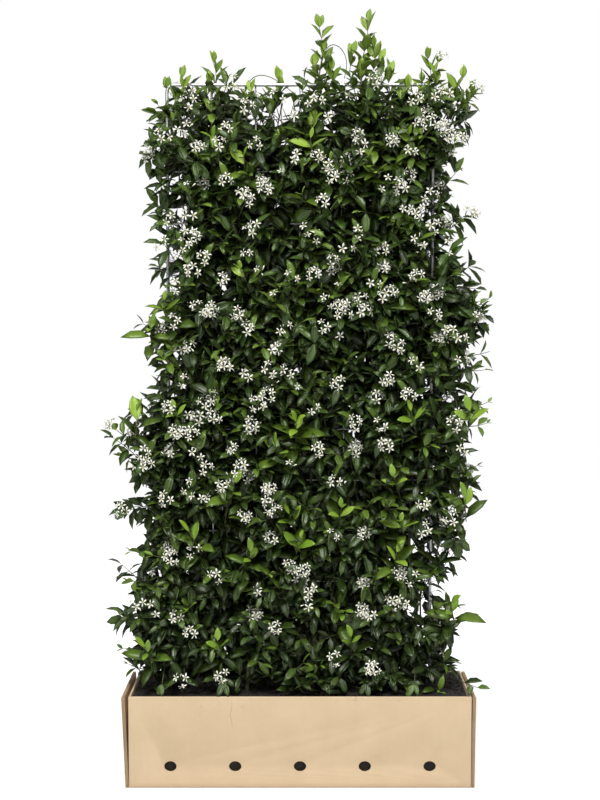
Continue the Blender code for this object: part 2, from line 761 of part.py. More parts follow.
class Screen:
    """The four plants as they grow: a core and a collection of shoots each, and what stands in the way."""

    def __init__(self, parts, in_the_way):
        self.parts = parts
        self.cores = [make_core(i, parts) for i in range(PLANT_COUNT)]
        self.other_cores = [surface_of([c for c in self.cores if c != core]) for core in self.cores]
        self.growth = [new_collection(f"growth_{i}") for i in range(PLANT_COUNT)]
        self.clear = Clearance(surface_of(in_the_way), surface_of(self.cores))
        self.heads = 0
        for i in range(PLANT_COUNT):
            grow_trunks(i, self.clear, self.growth[i])

    def place(self, root, run, i, rng):
        """A start near the planned one and the run from it, or nothing where it would leave its plant."""
        nudge = Vector((rng.uniform(-SHOOT_NUDGE, SHOOT_NUDGE), 0, rng.uniform(-SHOOT_NUDGE, SHOOT_NUDGE)))
        way = (run + nudge * 0.5).normalized()
        start = root + nudge * 0.5
        if not in_zone(i, start.x, start.z, ZONE_MARGIN):
            return None
        tip = start + way * run.length
        path = BVHTree.FromPolygons([start, tip, tip + Vector((0.001, 0, 0))], [(0, 1, 2)])
        return None if path.overlap(self.other_cores[i]) else (start, way)

    def bloom(self, n, i, tip, way, rng):
        """The head of flowers at a shoot's tip, or a single one once there are heads enough."""
        if self.heads < HEAD_COUNT:
            return make_head(f"flowers_{self.heads + 1:02d}", rng, tip, way, self.parts)
        if rng.random() < TIP_FLORET_SHARE:
            return make_star(f"star_{n}", tip, way, self.growth[i])
        return None

    def try_shoot(self, n, root, run, flowering, rng):
        i = plant_at(root.x, root.z)
        placed = self.place(root, run, i, rng)
        if not placed:
            return False
        start, way = placed
        bloom = self.bloom(n, i, start + way * run.length, way, rng) if flowering else None
        before = len(self.clear.placed)
        if bloom and self.clear.crosses(*tree_of(bloom), n):
            bpy.data.objects.remove(bloom)
            return False
        if bloom:
            self.clear.add(*tree_of(bloom), n)
        if not grow_shoot(f"shoot_{n}", start, way * run.length, rng, self.clear, n, self.growth[i]):
            del self.clear.placed[before:]
            if bloom:
                bpy.data.objects.remove(bloom)
            return False
        if bloom and bloom.name.startswith("flowers"):
            self.heads += 1
        return True

    def grow(self):
        rng = random.Random(5)
        plan = shoot_plan(rng)
        order = list(range(len(plan)))
        random.Random(3).shuffle(order)
        for n in order:
            for _ in range(SHOOT_TRIES):
                if self.try_shoot(n, *plan[n], rng):
                    break

    def join(self):
        """Joins each plant's shoots and trunks to its core, as one closed body."""
        for core, shoots in zip(self.cores, self.growth):
            boolean(core, "UNION", shoots)
            keep_main_body(core)
            discard(shoots)
            paint(core, "leaves")


def main():
    clear_scene()
    parts = new_collection("star_jasmine_screen")
    guides = new_collection("guides")
    tray = make_tray(parts)
    ends = [make_end(side, parts) for side in ("left", "right")]
    frame = make_frame("wire_frame", 0, parts)
    channels = helper(make_frame("wire_channels", WIRE_CLEARANCE, guides))
    soil = make_soil(channels, parts)
    screen = Screen(parts, [tray, soil, channels, *ends])
    screen.grow()
    screen.join()
    paint(tray, "cardboard")
    for end in ends:
        paint(end, "cardboard_end")
    paint(frame, "galvanised_wire")
    paint(soil, "compost")
    for obj in parts.objects:
        if obj.name.startswith("flowers"):
            paint(obj, "petals")


main()
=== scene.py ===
"""Star jasmine hedge screen: glossy leaves, starry flowers, wire frame, compost and corrugated planter."""

import random
from math import cos, pi, radians, sin

import bmesh
import bpy
import numpy as np
from mathutils import Matrix, Vector, noise


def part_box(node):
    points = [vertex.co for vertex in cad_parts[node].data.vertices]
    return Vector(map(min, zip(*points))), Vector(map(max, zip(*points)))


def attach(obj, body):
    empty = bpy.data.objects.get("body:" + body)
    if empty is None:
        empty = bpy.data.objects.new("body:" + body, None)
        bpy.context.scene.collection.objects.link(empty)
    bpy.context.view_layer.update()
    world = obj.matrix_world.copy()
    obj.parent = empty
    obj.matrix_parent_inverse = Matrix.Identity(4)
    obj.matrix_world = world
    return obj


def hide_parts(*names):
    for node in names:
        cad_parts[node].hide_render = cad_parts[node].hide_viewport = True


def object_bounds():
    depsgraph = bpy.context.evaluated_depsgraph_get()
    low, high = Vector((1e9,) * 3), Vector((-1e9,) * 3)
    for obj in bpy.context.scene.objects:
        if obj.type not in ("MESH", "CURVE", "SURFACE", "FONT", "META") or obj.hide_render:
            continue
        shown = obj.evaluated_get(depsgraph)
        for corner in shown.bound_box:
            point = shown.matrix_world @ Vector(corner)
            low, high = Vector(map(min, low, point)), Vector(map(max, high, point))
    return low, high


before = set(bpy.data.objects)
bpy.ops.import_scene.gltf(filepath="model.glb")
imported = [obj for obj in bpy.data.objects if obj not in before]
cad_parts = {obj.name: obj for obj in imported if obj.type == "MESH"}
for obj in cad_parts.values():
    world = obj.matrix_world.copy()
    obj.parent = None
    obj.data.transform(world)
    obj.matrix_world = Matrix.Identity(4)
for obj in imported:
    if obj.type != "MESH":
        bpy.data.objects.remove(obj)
CAD_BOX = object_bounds()

# Planter and frame in metres, as in the solids
TRAY_LENGTH = 1.000
TRAY_DEPTH = 0.300
TRAY_HEIGHT = 0.270
TRAY_WALL = 0.007
END_WALL = 0.009
END_HEIGHT = 0.267
END_SPLAY = {"left": 0.011, "right": 0.003}
SEAT_GAP = 0.0003
HOLE_COUNT = 5
HOLE_PITCH = 0.189
HOLE_SIZE = (0.036, 0.031)
HOLE_RISE = 0.064
SOIL_RISE = 0.262
HOOP_WIDTH = 0.780
HOOP_TOP = 2.050
HOOP_RADIUS = 0.005
HOOP_CORNER = 0.022
HOOP_FOOT = 0.012
WIRE_RADIUS = 0.0025
WIRE_COLUMNS = 5
WIRE_ROWS = 11
FIRST_ROW_DROP = 0.100
WIRE_PITCH_Z = 0.152
PLANT_COUNT = 4
FLUTE_PITCH = 0.0066
LINER = 0.0007
PAPER = 0.0008
TRAY_CORNER = 0.004
CUT_EDGE = 0.0006
RAGGED = 0.0012
SCRATCH_X = -0.198

# Compost
BED_TOP = SOIL_RISE - 0.006
BED_THICKNESS = SOIL_RISE - 0.016
BED_CELLS = (150, 44)
EDGE_BAND = 0.02
CRUMBS = 1300
CRUMB_SIZE = (0.0015, 0.0042)

# Sizes, counts and shares of the foliage
ROOT_DEPTH = 0.030
FRONT_FACE = -0.128
LEAF_LENGTH = (0.050, 0.068)
YOUNG_LENGTH = (0.026, 0.050)
LONGEST_SOLID_LEAF = 0.076
NODE_PITCH = 0.030
SHOOT_RADII = (0.0019, 0.0017, 0.0014, 0.0009)
FLOWER_SPAN = 0.0130
BUD_LENGTH = (0.009, 0.015)
STALK_LENGTH = (0.013, 0.025)
STALK_RADIUS = 0.0006
HEAD_SIZES = (1, 2, 3, 3, 4, 4, 5, 6)
TURN_OF_STALKS = 2.4
GAP_MARGIN = 0.009
GAP_SHARE = 0.88
REACH_MARGIN = (0.016, 0.008, 0.030)
DAYLIGHT_FROM = 0.35
DAYLIGHT_OVER = 1.25
FRONT_HEADS = 100
BACK_HEADS = 50
INNER_LEAVES = 7800
EDGE_SHOOTS = 64
UPRIGHT_SHOOTS = 34
RAIL_SHOOTS = 44
THIN_STEMS = 12
TRUNK_STEPS = 39
THIN_STEPS = 9
TOP_STEPS = 8
TOP_ROOT = 1.95
TOP_PITCH = 0.031

# Per pair of leaves, from the end of a shoot inwards: share of the shoot's age, and chance spread
AGE_SHARE = (1.0, 0.8, 0.45, 0.25)
AGE_SPREAD = (0.30, 0.14, 0.05, 0.02)

# The same for shoots above the rail: length, age, and lean off the stem in degrees
TOP_LENGTH = (0.040, 0.054, 0.060, 0.062)
TOP_AGE = (0.85, 0.65, 0.45, 0.30)
TOP_LEAN = (14, 28, 36, 44)

# Woody stems of a plant: place in the compost as (across, depth), and radius
TRUNKS = (
    (-0.060, -0.030, 0.0060),
    (0.030, 0.028, 0.0062),
    (0.0, 0.012, 0.0040),
    (-0.035, 0.020, 0.0032),
    (0.062, 0.012, 0.0030),
)

# Faces covered with shoots by rule: side, step between shoots, least and greatest reach
FACES = (
    (-1, 0.054, 0.035, 0.128),
    (1, 0.064, 0.030, 0.100),
)
FACE_HEIGHTS = (0.25, 1.97)
EDGE_HEIGHTS = (0.30, 2.03)

# Reach of the foliage to the left and right at each height
OUTLINE = (
    (0.28, -0.52, 0.49),
    (0.40, -0.54, 0.48),
    (0.52, -0.52, 0.46),
    (0.64, -0.50, 0.46),
    (0.80, -0.47, 0.50),
    (1.00, -0.54, 0.53),
    (1.10, -0.47, 0.54),
    (1.18, -0.385, 0.485),
    (1.30, -0.435, 0.555),
    (1.42, -0.405, 0.555),
    (1.57, -0.42, 0.47),
    (1.77, -0.425, 0.455),
    (1.92, -0.42, 0.47),
    (2.02, -0.43, 0.50),
    (2.06, -0.40, 0.43),
)

# Full heads of flowers at the front, as (across, up)
BIG_HEADS = (
    (0.04, 1.11), (0.11, 1.18), (0.16, 1.07), (0.23, 1.06), (0.10, 0.90), (-0.21, 1.22),
    (-0.09, 1.22), (-0.12, 1.12), (-0.29, 1.40), (-0.45, 0.98), (-0.07, 0.47), (0.10, 0.38),
    (-0.35, 0.32), (0.21, 0.35), (0.01, 0.64), (-0.09, 0.83), (0.05, 0.99), (-0.31, 1.50),
    (-0.13, 1.86), (-0.32, 1.98), (0.33, 1.99), (-0.19, 2.03), (0.21, 2.04), (0.17, 1.86),
    (0.43, 1.57), (0.36, 1.43),
)

# Smaller heads of two to four flowers at the front
SMALL_HEADS = (
    (-0.40, 1.88), (-0.32, 1.91), (-0.05, 1.77), (-0.21, 1.76), (-0.10, 1.73), (-0.13, 1.63),
    (0.02, 1.62), (0.13, 1.57), (0.17, 1.61), (0.34, 1.92), (0.43, 1.89), (0.09, 1.77),
    (0.25, 1.75), (0.37, 1.72), (0.34, 1.59), (-0.39, 1.58), (-0.30, 1.60), (-0.35, 1.46),
    (-0.15, 1.55), (-0.11, 1.50), (-0.02, 1.48), (0.21, 1.47), (0.31, 1.47), (-0.05, 1.34),
    (-0.18, 1.38), (-0.32, 1.29), (-0.33, 1.19), (0.25, 1.19), (0.31, 1.15), (-0.27, 1.12),
    (-0.14, 1.06), (-0.36, 1.04), (-0.30, 0.98), (-0.03, 0.94), (-0.17, 0.94), (-0.23, 0.88),
    (0.26, 1.31), (0.08, 1.42), (0.17, 1.42), (0.39, 1.38), (0.43, 1.33), (0.47, 0.99),
    (0.02, 0.54), (-0.36, 0.50), (-0.25, 0.62), (0.36, 0.83), (0.44, 0.79), (-0.39, 0.85),
    (0.33, 0.61), (0.30, 0.54), (-0.47, 0.54), (-0.23, 0.32),
)

# Young lime green shoots at the front
LIME_SHOOTS = (
    (-0.16, 1.83), (0.20, 1.83), (-0.07, 1.00), (-0.01, 1.07), (0.12, 0.82), (0.29, 0.78),
    (0.27, 0.91), (0.28, 0.69), (-0.03, 0.80), (0.00, 0.73), (-0.14, 0.69), (-0.24, 0.43),
    (-0.45, 0.41), (-0.36, 1.11), (-0.47, 1.10), (-0.19, 0.89), (-0.32, 0.75), (-0.39, 1.42),
    (-0.43, 1.36), (0.15, 0.44), (0.48, 0.85), (0.44, 0.54), (0.49, 1.10), (0.32, 1.10),
    (0.04, 1.93), (-0.25, 1.88), (0.31, 1.89), (0.03, 1.88), (-0.17, 1.51), (0.23, 1.45),
)

# Open places where the light comes through, as (across, up, radius)
GAPS = (
    (-0.13, 1.95, 0.030), (-0.04, 1.96, 0.038), (0.09, 1.95, 0.030), (-0.21, 1.44, 0.030),
    (0.00, 1.21, 0.016), (0.16, 1.02, 0.024), (0.35, 0.49, 0.034), (0.16, 0.55, 0.018),
    (-0.19, 0.44, 0.018), (-0.345, 1.70, 0.022), (0.365, 1.67, 0.026), (-0.340, 1.92, 0.022),
    (0.40, 1.93, 0.026), (0.38, 1.74, 0.022), (0.35, 0.69, 0.032), (-0.350, 1.56, 0.014),
    (-0.350, 1.63, 0.016), (-0.350, 1.79, 0.020), (0.38, 1.57, 0.018), (0.40, 1.50, 0.018),
    (-0.345, 1.24, 0.012), (0.38, 1.16, 0.024), (0.39, 0.57, 0.032), (-0.345, 0.62, 0.014),
    (-0.04, 1.88, 0.012), (0.07, 1.70, 0.012), (-0.07, 1.70, 0.010), (0.36, 0.40, 0.022),
    (0.41, 0.67, 0.024), (0.40, 0.77, 0.024), (0.43, 1.12, 0.020), (-0.43, 0.60, 0.014),
)

# Sprigs that stand out past the edges: root and tip, each as (across, up), and how they end
SIDE_SPRIGS = (
    ((-0.46, 1.00), (-0.550, 1.045), "flowers"),
    ((-0.38, 1.29), (-0.440, 1.350), "leaves"),
    ((-0.45, 0.39), (-0.530, 0.380), "leaves"),
    ((-0.46, 0.95), (-0.530, 0.960), "leaves"),
    ((-0.44, 0.31), (-0.520, 0.325), "leaves"),
    ((-0.44, 0.58), (-0.515, 0.590), "leaves"),
    ((-0.44, 0.66), (-0.500, 0.680), "leaves"),
    ((0.47, 1.38), (0.555, 1.425), "leaves"),
    ((0.46, 1.33), (0.560, 1.350), "leaves"),
    ((0.46, 1.25), (0.560, 1.270), "leaves"),
    ((0.46, 1.40), (0.540, 1.410), "leaves"),
    ((0.46, 1.22), (0.545, 1.215), "leaves"),
    ((0.46, 1.10), (0.555, 1.120), "leaves"),
    ((0.46, 1.05), (0.550, 1.060), "leaves"),
    ((0.45, 0.92), (0.525, 0.930), "leaves"),
    ((0.44, 0.84), (0.515, 0.850), "leaves"),
    ((0.41, 0.50), (0.470, 0.500), "leaves"),
    ((0.39, 0.33), (0.450, 0.350), "leaves"),
    ((0.44, 1.63), (0.490, 1.665), "flowers"),
    ((0.36, 2.00), (0.405, 2.120), "flowers"),
    ((0.45, 1.97), (0.515, 2.030), "flowers"),
    ((0.44, 1.96), (0.500, 2.050), "leaves"),
    ((-0.37, 1.95), (-0.415, 1.990), "leaves"),
    ((-0.36, 1.86), (-0.420, 1.880), "flowers"),
    ((0.40, 1.84), (0.455, 1.880), "flowers"),
)

# Bare young stems that loop above the rail, as (across, up)
BARE_STEMS = (
    ((-0.175, 1.99), (-0.150, 2.068), (-0.111, 2.084), (-0.060, 2.062), (-0.020, 2.028)),
    ((0.050, 2.02), (0.062, 2.120), (0.085, 2.172), (0.120, 2.162), (0.140, 2.120), (0.130, 2.070)),
)

# Low leaves that hang over the front rim, by their place along it
RIM_LEAVES = (-0.403, -0.222, 0.195, 0.335)

# Young shoots above the rail: place along it, height of the tip, sideways lean
TOP_SHOOTS = (
    (-0.34, 2.10, -0.05),
    (-0.38, 2.07, -0.04),
    (-0.255, 2.15, -0.01),
    (-0.27, 2.09, 0.03),
    (-0.055, 2.10, 0.04),
    (-0.15, 2.06, -0.02),
    (0.055, 2.25, -0.02),
    (0.075, 2.18, 0.03),
    (0.035, 2.14, -0.04),
    (0.10, 2.12, 0.02),
    (0.15, 2.17, -0.02),
    (0.19, 2.265, 0.01),
    (0.215, 2.19, 0.03),
    (0.24, 2.15, 0.04),
    (0.175, 2.13, -0.03),
    (0.27, 2.12, 0.05),
    (0.31, 2.07, 0.03),
    (0.375, 2.16, -0.01),
    (0.395, 2.11, 0.03),
    (0.35, 2.09, -0.03),
    (0.47, 2.10, 0.04),
    (0.44, 2.07, 0.02),
    (0.50, 2.06, 0.03),
)

# Studio
FLOOR_SIZE = (14, 12)
SKY_STRENGTH = 0.20
SUN_STRENGTH = 3.3
SUN_ANGLE = 24
SUN_DIRECTION = (0.02, 0.50, -0.87)
SOFT_LIGHTS = (
    ("key", (-1.0, -3.2, 3.5), 1.4, 58),
    ("fill", (1.7, -3.4, 2.8), 1.6, 24),
    ("back", (0.7, 3.3, 3.1), 2.2, 60),
)
LIGHTS_AIM = (0, 0, 1.1)
CAMERA_PLACE = (0, -4.15, 1.4)
CAMERA_TILT = 3.79
LENS = 62.96
SENSOR = 36

FRONT = Vector((0, -1, 0))
UPWARDS = Vector((0, 0, 1))


def clamp(value, low=0.0, high=1.0):
    return min(max(value, low), high)


def edges_at(z):
    """(left, right) reach of the leaves at a height."""
    z = clamp(z, OUTLINE[0][0], OUTLINE[-1][0])
    for low, high in zip(OUTLINE, OUTLINE[1:]):
        if z <= high[0]:
            share = (z - low[0]) / (high[0] - low[0])
            return tuple(low[k] + share * (high[k] - low[k]) for k in (1, 2))
    return OUTLINE[-1][1:]


def in_gap(p):
    return any((p.x - x) ** 2 + (p.z - z) ** 2 < (radius + GAP_MARGIN) ** 2 for x, z, radius in GAPS)


def inside_box(p):
    low, high = CAD_BOX
    return all(low[k] - REACH_MARGIN[k] < p[k] < high[k] + REACH_MARGIN[k] for k in range(3))


def relief(x, z, side):
    """How far the foliage bulges out, from about -1 in a hollow to 1 on a bulge."""
    wide = noise.noise(Vector((x * 6, side * 3, z * 6)))
    return 1.5 * wide + 0.9 * noise.noise(Vector((x * 15, side * 5, z * 15)))


def daylight_at(z):
    """0 for the old leaves near the planter up to 1 for those in full light, from 1.6 m up."""
    return clamp((z - DAYLIGHT_FROM) / DAYLIGHT_OVER)


def plant_at(x):
    return clamp(int((x / HOOP_WIDTH + 0.5) * PLANT_COUNT), 0, PLANT_COUNT - 1)


def solid_heads():
    """The name and the middle of each solid head of flowers."""
    for name in sorted(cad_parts):
        if name.startswith("flowers_"):
            low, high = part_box(name)
            yield name, (low + high) / 2


# Materials


class Nodes:
    """A node tree with short calls to add and join nodes."""

    def __init__(self, tree):
        self.tree = tree

    def add(self, kind, values=None, **settings):
        node = self.tree.nodes.new("ShaderNode" + kind)
        for name, value in settings.items():
            setattr(node, name, value)
        for name, value in (values or {}).items():
            self.put(node.inputs[name], value)
        return node

    def put(self, socket, value):
        if isinstance(value, bpy.types.NodeSocket):
            self.tree.links.new(value, socket)
        else:
            socket.default_value = value

    def put_all(self, node, values):
        for place, value in enumerate(values):
            if value is not None:
                self.put(node.inputs[place], value)
        return node.outputs[0]

    def mix(self, share, first, second):
        node = self.add("Mix", data_type="RGBA")
        self.put(node.inputs[0], share)
        self.put(node.inputs[6], first)
        self.put(node.inputs[7], second)
        return node.outputs[2]

    def maths(self, operation, first, second=0.0, third=None):
        return self.put_all(self.add("Math", operation=operation), (first, second, third))

    def spread(self, value, low, high, to_low=0.0, to_high=1.0):
        return self.put_all(self.add("MapRange"), (value, low, high, to_low, to_high))

    def distance(self, value, centre):
        return self.maths("ABSOLUTE", self.maths("SUBTRACT", value, centre))

    def clouds(self, place, scale, detail=2.0, roughness=0.5):
        given = {"Vector": place, "Scale": scale, "Detail": detail, "Roughness": roughness}
        return self.add("TexNoise", given).outputs[0]

    def stretched(self, place, scale):
        return self.add("Mapping", {"Vector": place, "Scale": scale}).outputs[0]

    def split(self, place):
        return self.add("SeparateXYZ", {"Vector": place}).outputs

    def place(self):
        return self.add("TexCoord").outputs["Object"]

    def blade(self):
        return self.split(self.add("UVMap", uv_map="blade").outputs[0])

    def attribute(self, name):
        return self.add("Attribute", attribute_name=name).outputs["Fac"]


def colour(r, g, b):
    return (r, g, b, 1.0)


def new_material(name):
    made = bpy.data.materials.new(name)
    made.use_nodes = True
    shader = made.node_tree.nodes["Principled BSDF"]
    return made, Nodes(made.node_tree), shader


def new_group(name, inputs, outputs):
    """A shader node group with named float or colour sockets."""
    group = bpy.data.node_groups.new(name, "ShaderNodeTree")
    kinds = {float: "NodeSocketFloat", tuple: "NodeSocketColor"}
    for label, value in inputs.items():
        socket = group.interface.new_socket(label, in_out="INPUT", socket_type=kinds[type(value)])
        socket.default_value = value
    for label, kind in outputs.items():
        group.interface.new_socket(label, in_out="OUTPUT", socket_type="NodeSocket" + kind)
    nodes = Nodes(group)
    start = group.nodes.new("NodeGroupInput")
    end = group.nodes.new("NodeGroupOutput")
    return group, nodes, start.outputs, end.inputs


def use_group(nodes, group, **values):
    node = nodes.tree.nodes.new("ShaderNodeGroup")
    node.node_tree = group
    for name, value in values.items():
        nodes.put(node.inputs[name.replace("_", " ")], value)
    return node.outputs


def surface(n, shader, base, rough, height, strength, distance):
    """Joins a colour, a roughness and a height to a shader."""
    n.put(shader.inputs["Base Color"], base)
    n.put(shader.inputs["Roughness"], rough)
    bump = n.add("Bump", {"Strength": strength, "Distance": distance, "Height": height})
    n.put(shader.inputs["Normal"], bump.outputs[0])


def mottle_group():
    """Soft cloudy patches with fine grain on top, as a colour and a height."""
    wanted = {
        "Dark": colour(0.2, 0.2, 0.2),
        "Light": colour(0.8, 0.8, 0.8),
        "Patch scale": 8.0,
        "Grain scale": 300.0,
        "Grain": 0.4,
    }
    group, n, given, out = new_group("mottle", wanted, {"Colour": "Color", "Height": "Float"})
    place = n.place()
    patch = n.clouds(place, given["Patch scale"], 4.0, 0.6)
    grain = n.clouds(place, given["Grain scale"], 3.0, 0.7)
    steps = n.maths("MULTIPLY_ADD", n.maths("SUBTRACT", grain, 0.5), given["Grain"], patch)
    n.put(out["Colour"], n.mix(n.spread(steps, 0.3, 0.7), given["Dark"], given["Light"]))
    n.put(out["Height"], n.maths("MULTIPLY_ADD", grain, given["Grain"], patch))
    return group


MOTTLE = mottle_group()


def leaf_material():
    """Glossy leaf: dark when old, lime when young, a paler rib and faint side veins."""
    made, n, shader = new_material("jasmine_leaf")
    tone = n.attribute("tone")
    uv = n.blade()
    across = n.distance(uv[0], 0.5)
    slope = n.maths("SUBTRACT", n.maths("MULTIPLY", uv[1], 9.0), n.maths("MULTIPLY", across, 7.0))
    veins = n.spread(n.distance(n.maths("FRACT", slope), 0.5), 0.40, 0.5)
    rib = n.spread(across, 0.028, 0.008)
    patches = n.clouds(n.place(), 90.0, 3.0)
    # The tone attribute sets how dark a leaf is: partly random, partly painted shade that darkens the lower
    # and the inner leaves
    old = n.mix(tone, colour(0.008, 0.015, 0.003), colour(0.042, 0.086, 0.010))
    young = n.mix(tone, colour(0.14, 0.25, 0.018), colour(0.30, 0.44, 0.050))
    base = n.mix(n.spread(n.attribute("age"), 0.15, 0.9), old, young)
    duller = n.mix(0.4, base, colour(0.08, 0.13, 0.012))
    base = n.mix(n.spread(patches, 0.35, 0.75, 0.0, 0.45), base, duller)
    base = n.mix(n.maths("MULTIPLY", veins, 0.14), base, colour(0.11, 0.19, 0.04))
    base = n.mix(n.maths("MULTIPLY", rib, 0.50), base, colour(0.17, 0.27, 0.06))
    height = n.maths("ADD", n.maths("MULTIPLY", veins, -0.4), n.maths("MULTIPLY", rib, -1.0))
    surface(n, shader, base, n.spread(patches, 0.3, 0.7, 0.28, 0.46), height, 0.35, 0.0006)
    shader.inputs["Specular IOR Level"].default_value = 0.45
    return made


def petal_material():
    """White petal with a cream throat and faint lengthwise lines."""
    made, n, shader = new_material("jasmine_petal")
    lines = n.maths("SINE", n.maths("MULTIPLY", n.blade()[0], 40.0))
    white = n.mix(n.attribute("tone"), colour(0.90, 0.91, 0.80), colour(0.96, 0.96, 0.90))
    base = n.mix(n.spread(lines, -1.0, 1.0, 0.0, 0.10), white, colour(0.80, 0.83, 0.70))
    base = n.mix(n.attribute("age"), base, colour(0.82, 0.76, 0.38))
    surface(n, shader, base, n.spread(lines, -1.0, 1.0, 0.50, 0.62), lines, 0.2, 0.0003)
    shader.inputs["Subsurface Weight"].default_value = 0.12
    shader.inputs["Subsurface Radius"].default_value = (0.004, 0.004, 0.003)
    return made


def stem_material(name, dark, light, rough):
    """Bark and green shoots: soft streaks between a dark and a light colour."""
    made, n, shader = new_material(name)
    look = use_group(n, MOTTLE, Dark=dark, Light=light, Patch_scale=40.0, Grain_scale=500.0, Grain=0.8)
    height = look["Height"]
    gloss = n.spread(height, 0.3, 1.2, rough - 0.1, rough + 0.1)
    surface(n, shader, look["Colour"], gloss, height, 0.5, 0.0006)
    return made


def galvanised_material():
    """Dull zinc with spangled patches and a little white bloom."""
    made, n, shader = new_material("galvanised_wire")
    place = n.place()
    spangle = n.add("TexVoronoi", {"Vector": place, "Scale": 420.0}).outputs["Distance"]
    bloom = n.clouds(place, 35.0, 4.0)
    base = n.mix(n.spread(spangle, 0.0, 0.7), colour(0.42, 0.43, 0.43), colour(0.62, 0.63, 0.62))
    base = n.mix(n.spread(bloom, 0.55, 0.75, 0.0, 0.5), base, colour(0.34, 0.34, 0.32))
    surface(n, shader, base, n.spread(bloom, 0.3, 0.7, 0.34, 0.58), spangle, 0.15, 0.0004)
    shader.inputs["Metallic"].default_value = 0.85
    return made


def compost_material():
    """Dark peaty compost, rough all over."""
    made, n, shader = new_material("dark_compost")
    dark, light = colour(0.004, 0.003, 0.002), colour(0.017, 0.012, 0.009)
    look = use_group(n, MOTTLE, Dark=dark, Light=light, Patch_scale=60.0, Grain_scale=600.0, Grain=1.0)
    height = look["Height"]
    surface(n, shader, look["Colour"], n.spread(height, 0.4, 1.2, 0.85, 1.0), height, 0.9, 0.002)
    return made


def cardboard_material(name, dark, light, marked):
    """Kraft board: fine fibres, faint flute shadows, painted shade along the foot, and marks on the tray.
    """
    made, n, shader = new_material(name)
    place = n.place()
    axes = n.split(place)
    look = use_group(n, MOTTLE, Dark=dark, Light=light, Patch_scale=9.0, Grain_scale=420.0, Grain=0.55)
    fibres = n.clouds(n.stretched(place, (1.0, 1.0, 9.0)), 210.0, 5.0, 0.7)
    flutes = n.maths("SINE", n.maths("MULTIPLY", axes[0], 2 * pi / FLUTE_PITCH))
    base = n.mix(n.spread(fibres, 0.62, 0.78, 0.0, 0.35), look["Colour"], colour(0.36, 0.22, 0.11))
    base = n.mix(n.spread(fibres, 0.36, 0.24, 0.0, 0.30), base, colour(0.86, 0.70, 0.50))
    base = n.mix(n.spread(flutes, -1.0, 1.0, 0.0, 0.05), base, colour(0.40, 0.26, 0.14))
    # Painted shade: the board darkens within 16 mm of the floor
    base = n.mix(n.spread(axes[2], 0.016, 0.0, 0.0, 0.45), base, colour(0.33, 0.20, 0.11))
    if marked:
        base = tray_marks(n, place, axes, base)
    height = n.maths("MULTIPLY_ADD", flutes, 0.25, fibres)
    surface(n, shader, base, n.spread(fibres, 0.3, 0.7, 0.78, 0.92), height, 0.25, 0.0006)
    return made


def tray_marks(n, place, axes, base):
    """Grey scuffs near the rim and one hair scratch down from it."""
    smudges = n.spread(n.clouds(place, 26.0, 5.0, 0.75), 0.60, 0.74, 0.0, 0.55)
    scuffs = n.maths("MULTIPLY", smudges, n.spread(axes[2], 0.19, 0.27))
    base = n.mix(scuffs, base, colour(0.16, 0.11, 0.07))
    bend = n.maths("SUBTRACT", n.clouds(n.stretched(place, (0.0, 0.0, 1.0)), 16.0), 0.5)
    off = n.distance(n.maths("MULTIPLY_ADD", bend, 0.03, axes[0]), SCRATCH_X)
    band = n.maths("MULTIPLY", n.spread(axes[2], 0.175, 0.19), n.spread(axes[2], 0.268, 0.24))
    scratch = n.maths("MULTIPLY", n.spread(off, 0.0012, 0.0005, 0.0, 0.42), band)
    return n.mix(scratch, base, colour(0.12, 0.08, 0.05))


# Making and finishing pieces


def deselect():
    if bpy.context.mode != "OBJECT":
        bpy.ops.object.mode_set(mode="OBJECT")
    bpy.ops.object.select_all(action="DESELECT")


def pick(*pieces):
    """Selects these pieces only, the first of them active."""
    deselect()
    for piece in pieces:
        piece.select_set(True)
    bpy.context.view_layer.objects.active = pieces[0]


def just_made(name):
    made = bpy.context.active_object
    made.name = name
    made.data.name = name
    return made


def settle(obj):
    """Places a piece in its mesh and puts its object at the origin."""
    pick(obj)
    bpy.ops.object.transform_apply(location=True, rotation=True, scale=True)


def add_modifier(obj, name, kind, **settings):
    modifier = obj.modifiers.new(name, kind)
    for label, value in settings.items():
        setattr(modifier, label, value)


def apply_all(obj):
    pick(obj)
    for modifier in list(obj.modifiers):
        bpy.ops.object.modifier_apply(modifier=modifier.name)


def open_mesh():
    """Edit mode with the whole mesh selected."""
    bpy.ops.object.mode_set(mode="EDIT")
    bpy.ops.mesh.select_all(action="SELECT")


def close_mesh():
    bpy.ops.object.mode_set(mode="OBJECT")


def dress(obj, material, slot, *nodes):
    """Finishes a piece: its material, the body it rides on and the solids it stands for. The slot argument
    is not used.
    """
    obj.data.materials.clear()
    obj.data.materials.append(material)
    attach(obj, "root")
    if nodes:
        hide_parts(*nodes)


def read_pattern(obj):
    """Corners, faces and blade coordinates of a modelled pattern, which is then removed."""
    mesh = obj.data
    points = np.empty(len(mesh.vertices) * 3)
    mesh.vertices.foreach_get("co", points)
    sizes = np.array([p.loop_total for p in mesh.polygons])
    corners = np.empty(len(mesh.loops), int)
    mesh.loops.foreach_get("vertex_index", corners)
    uv = np.zeros(len(mesh.loops) * 2)
    if mesh.uv_layers:
        mesh.uv_layers[0].uv.foreach_get("vector", uv)
    values = np.zeros(len(mesh.vertices))
    if "age" in mesh.attributes:
        mesh.attributes["age"].data.foreach_get("value", values)
    bpy.data.objects.remove(obj)
    return points.reshape(-1, 3), sizes, corners, uv.reshape(-1, 2), values


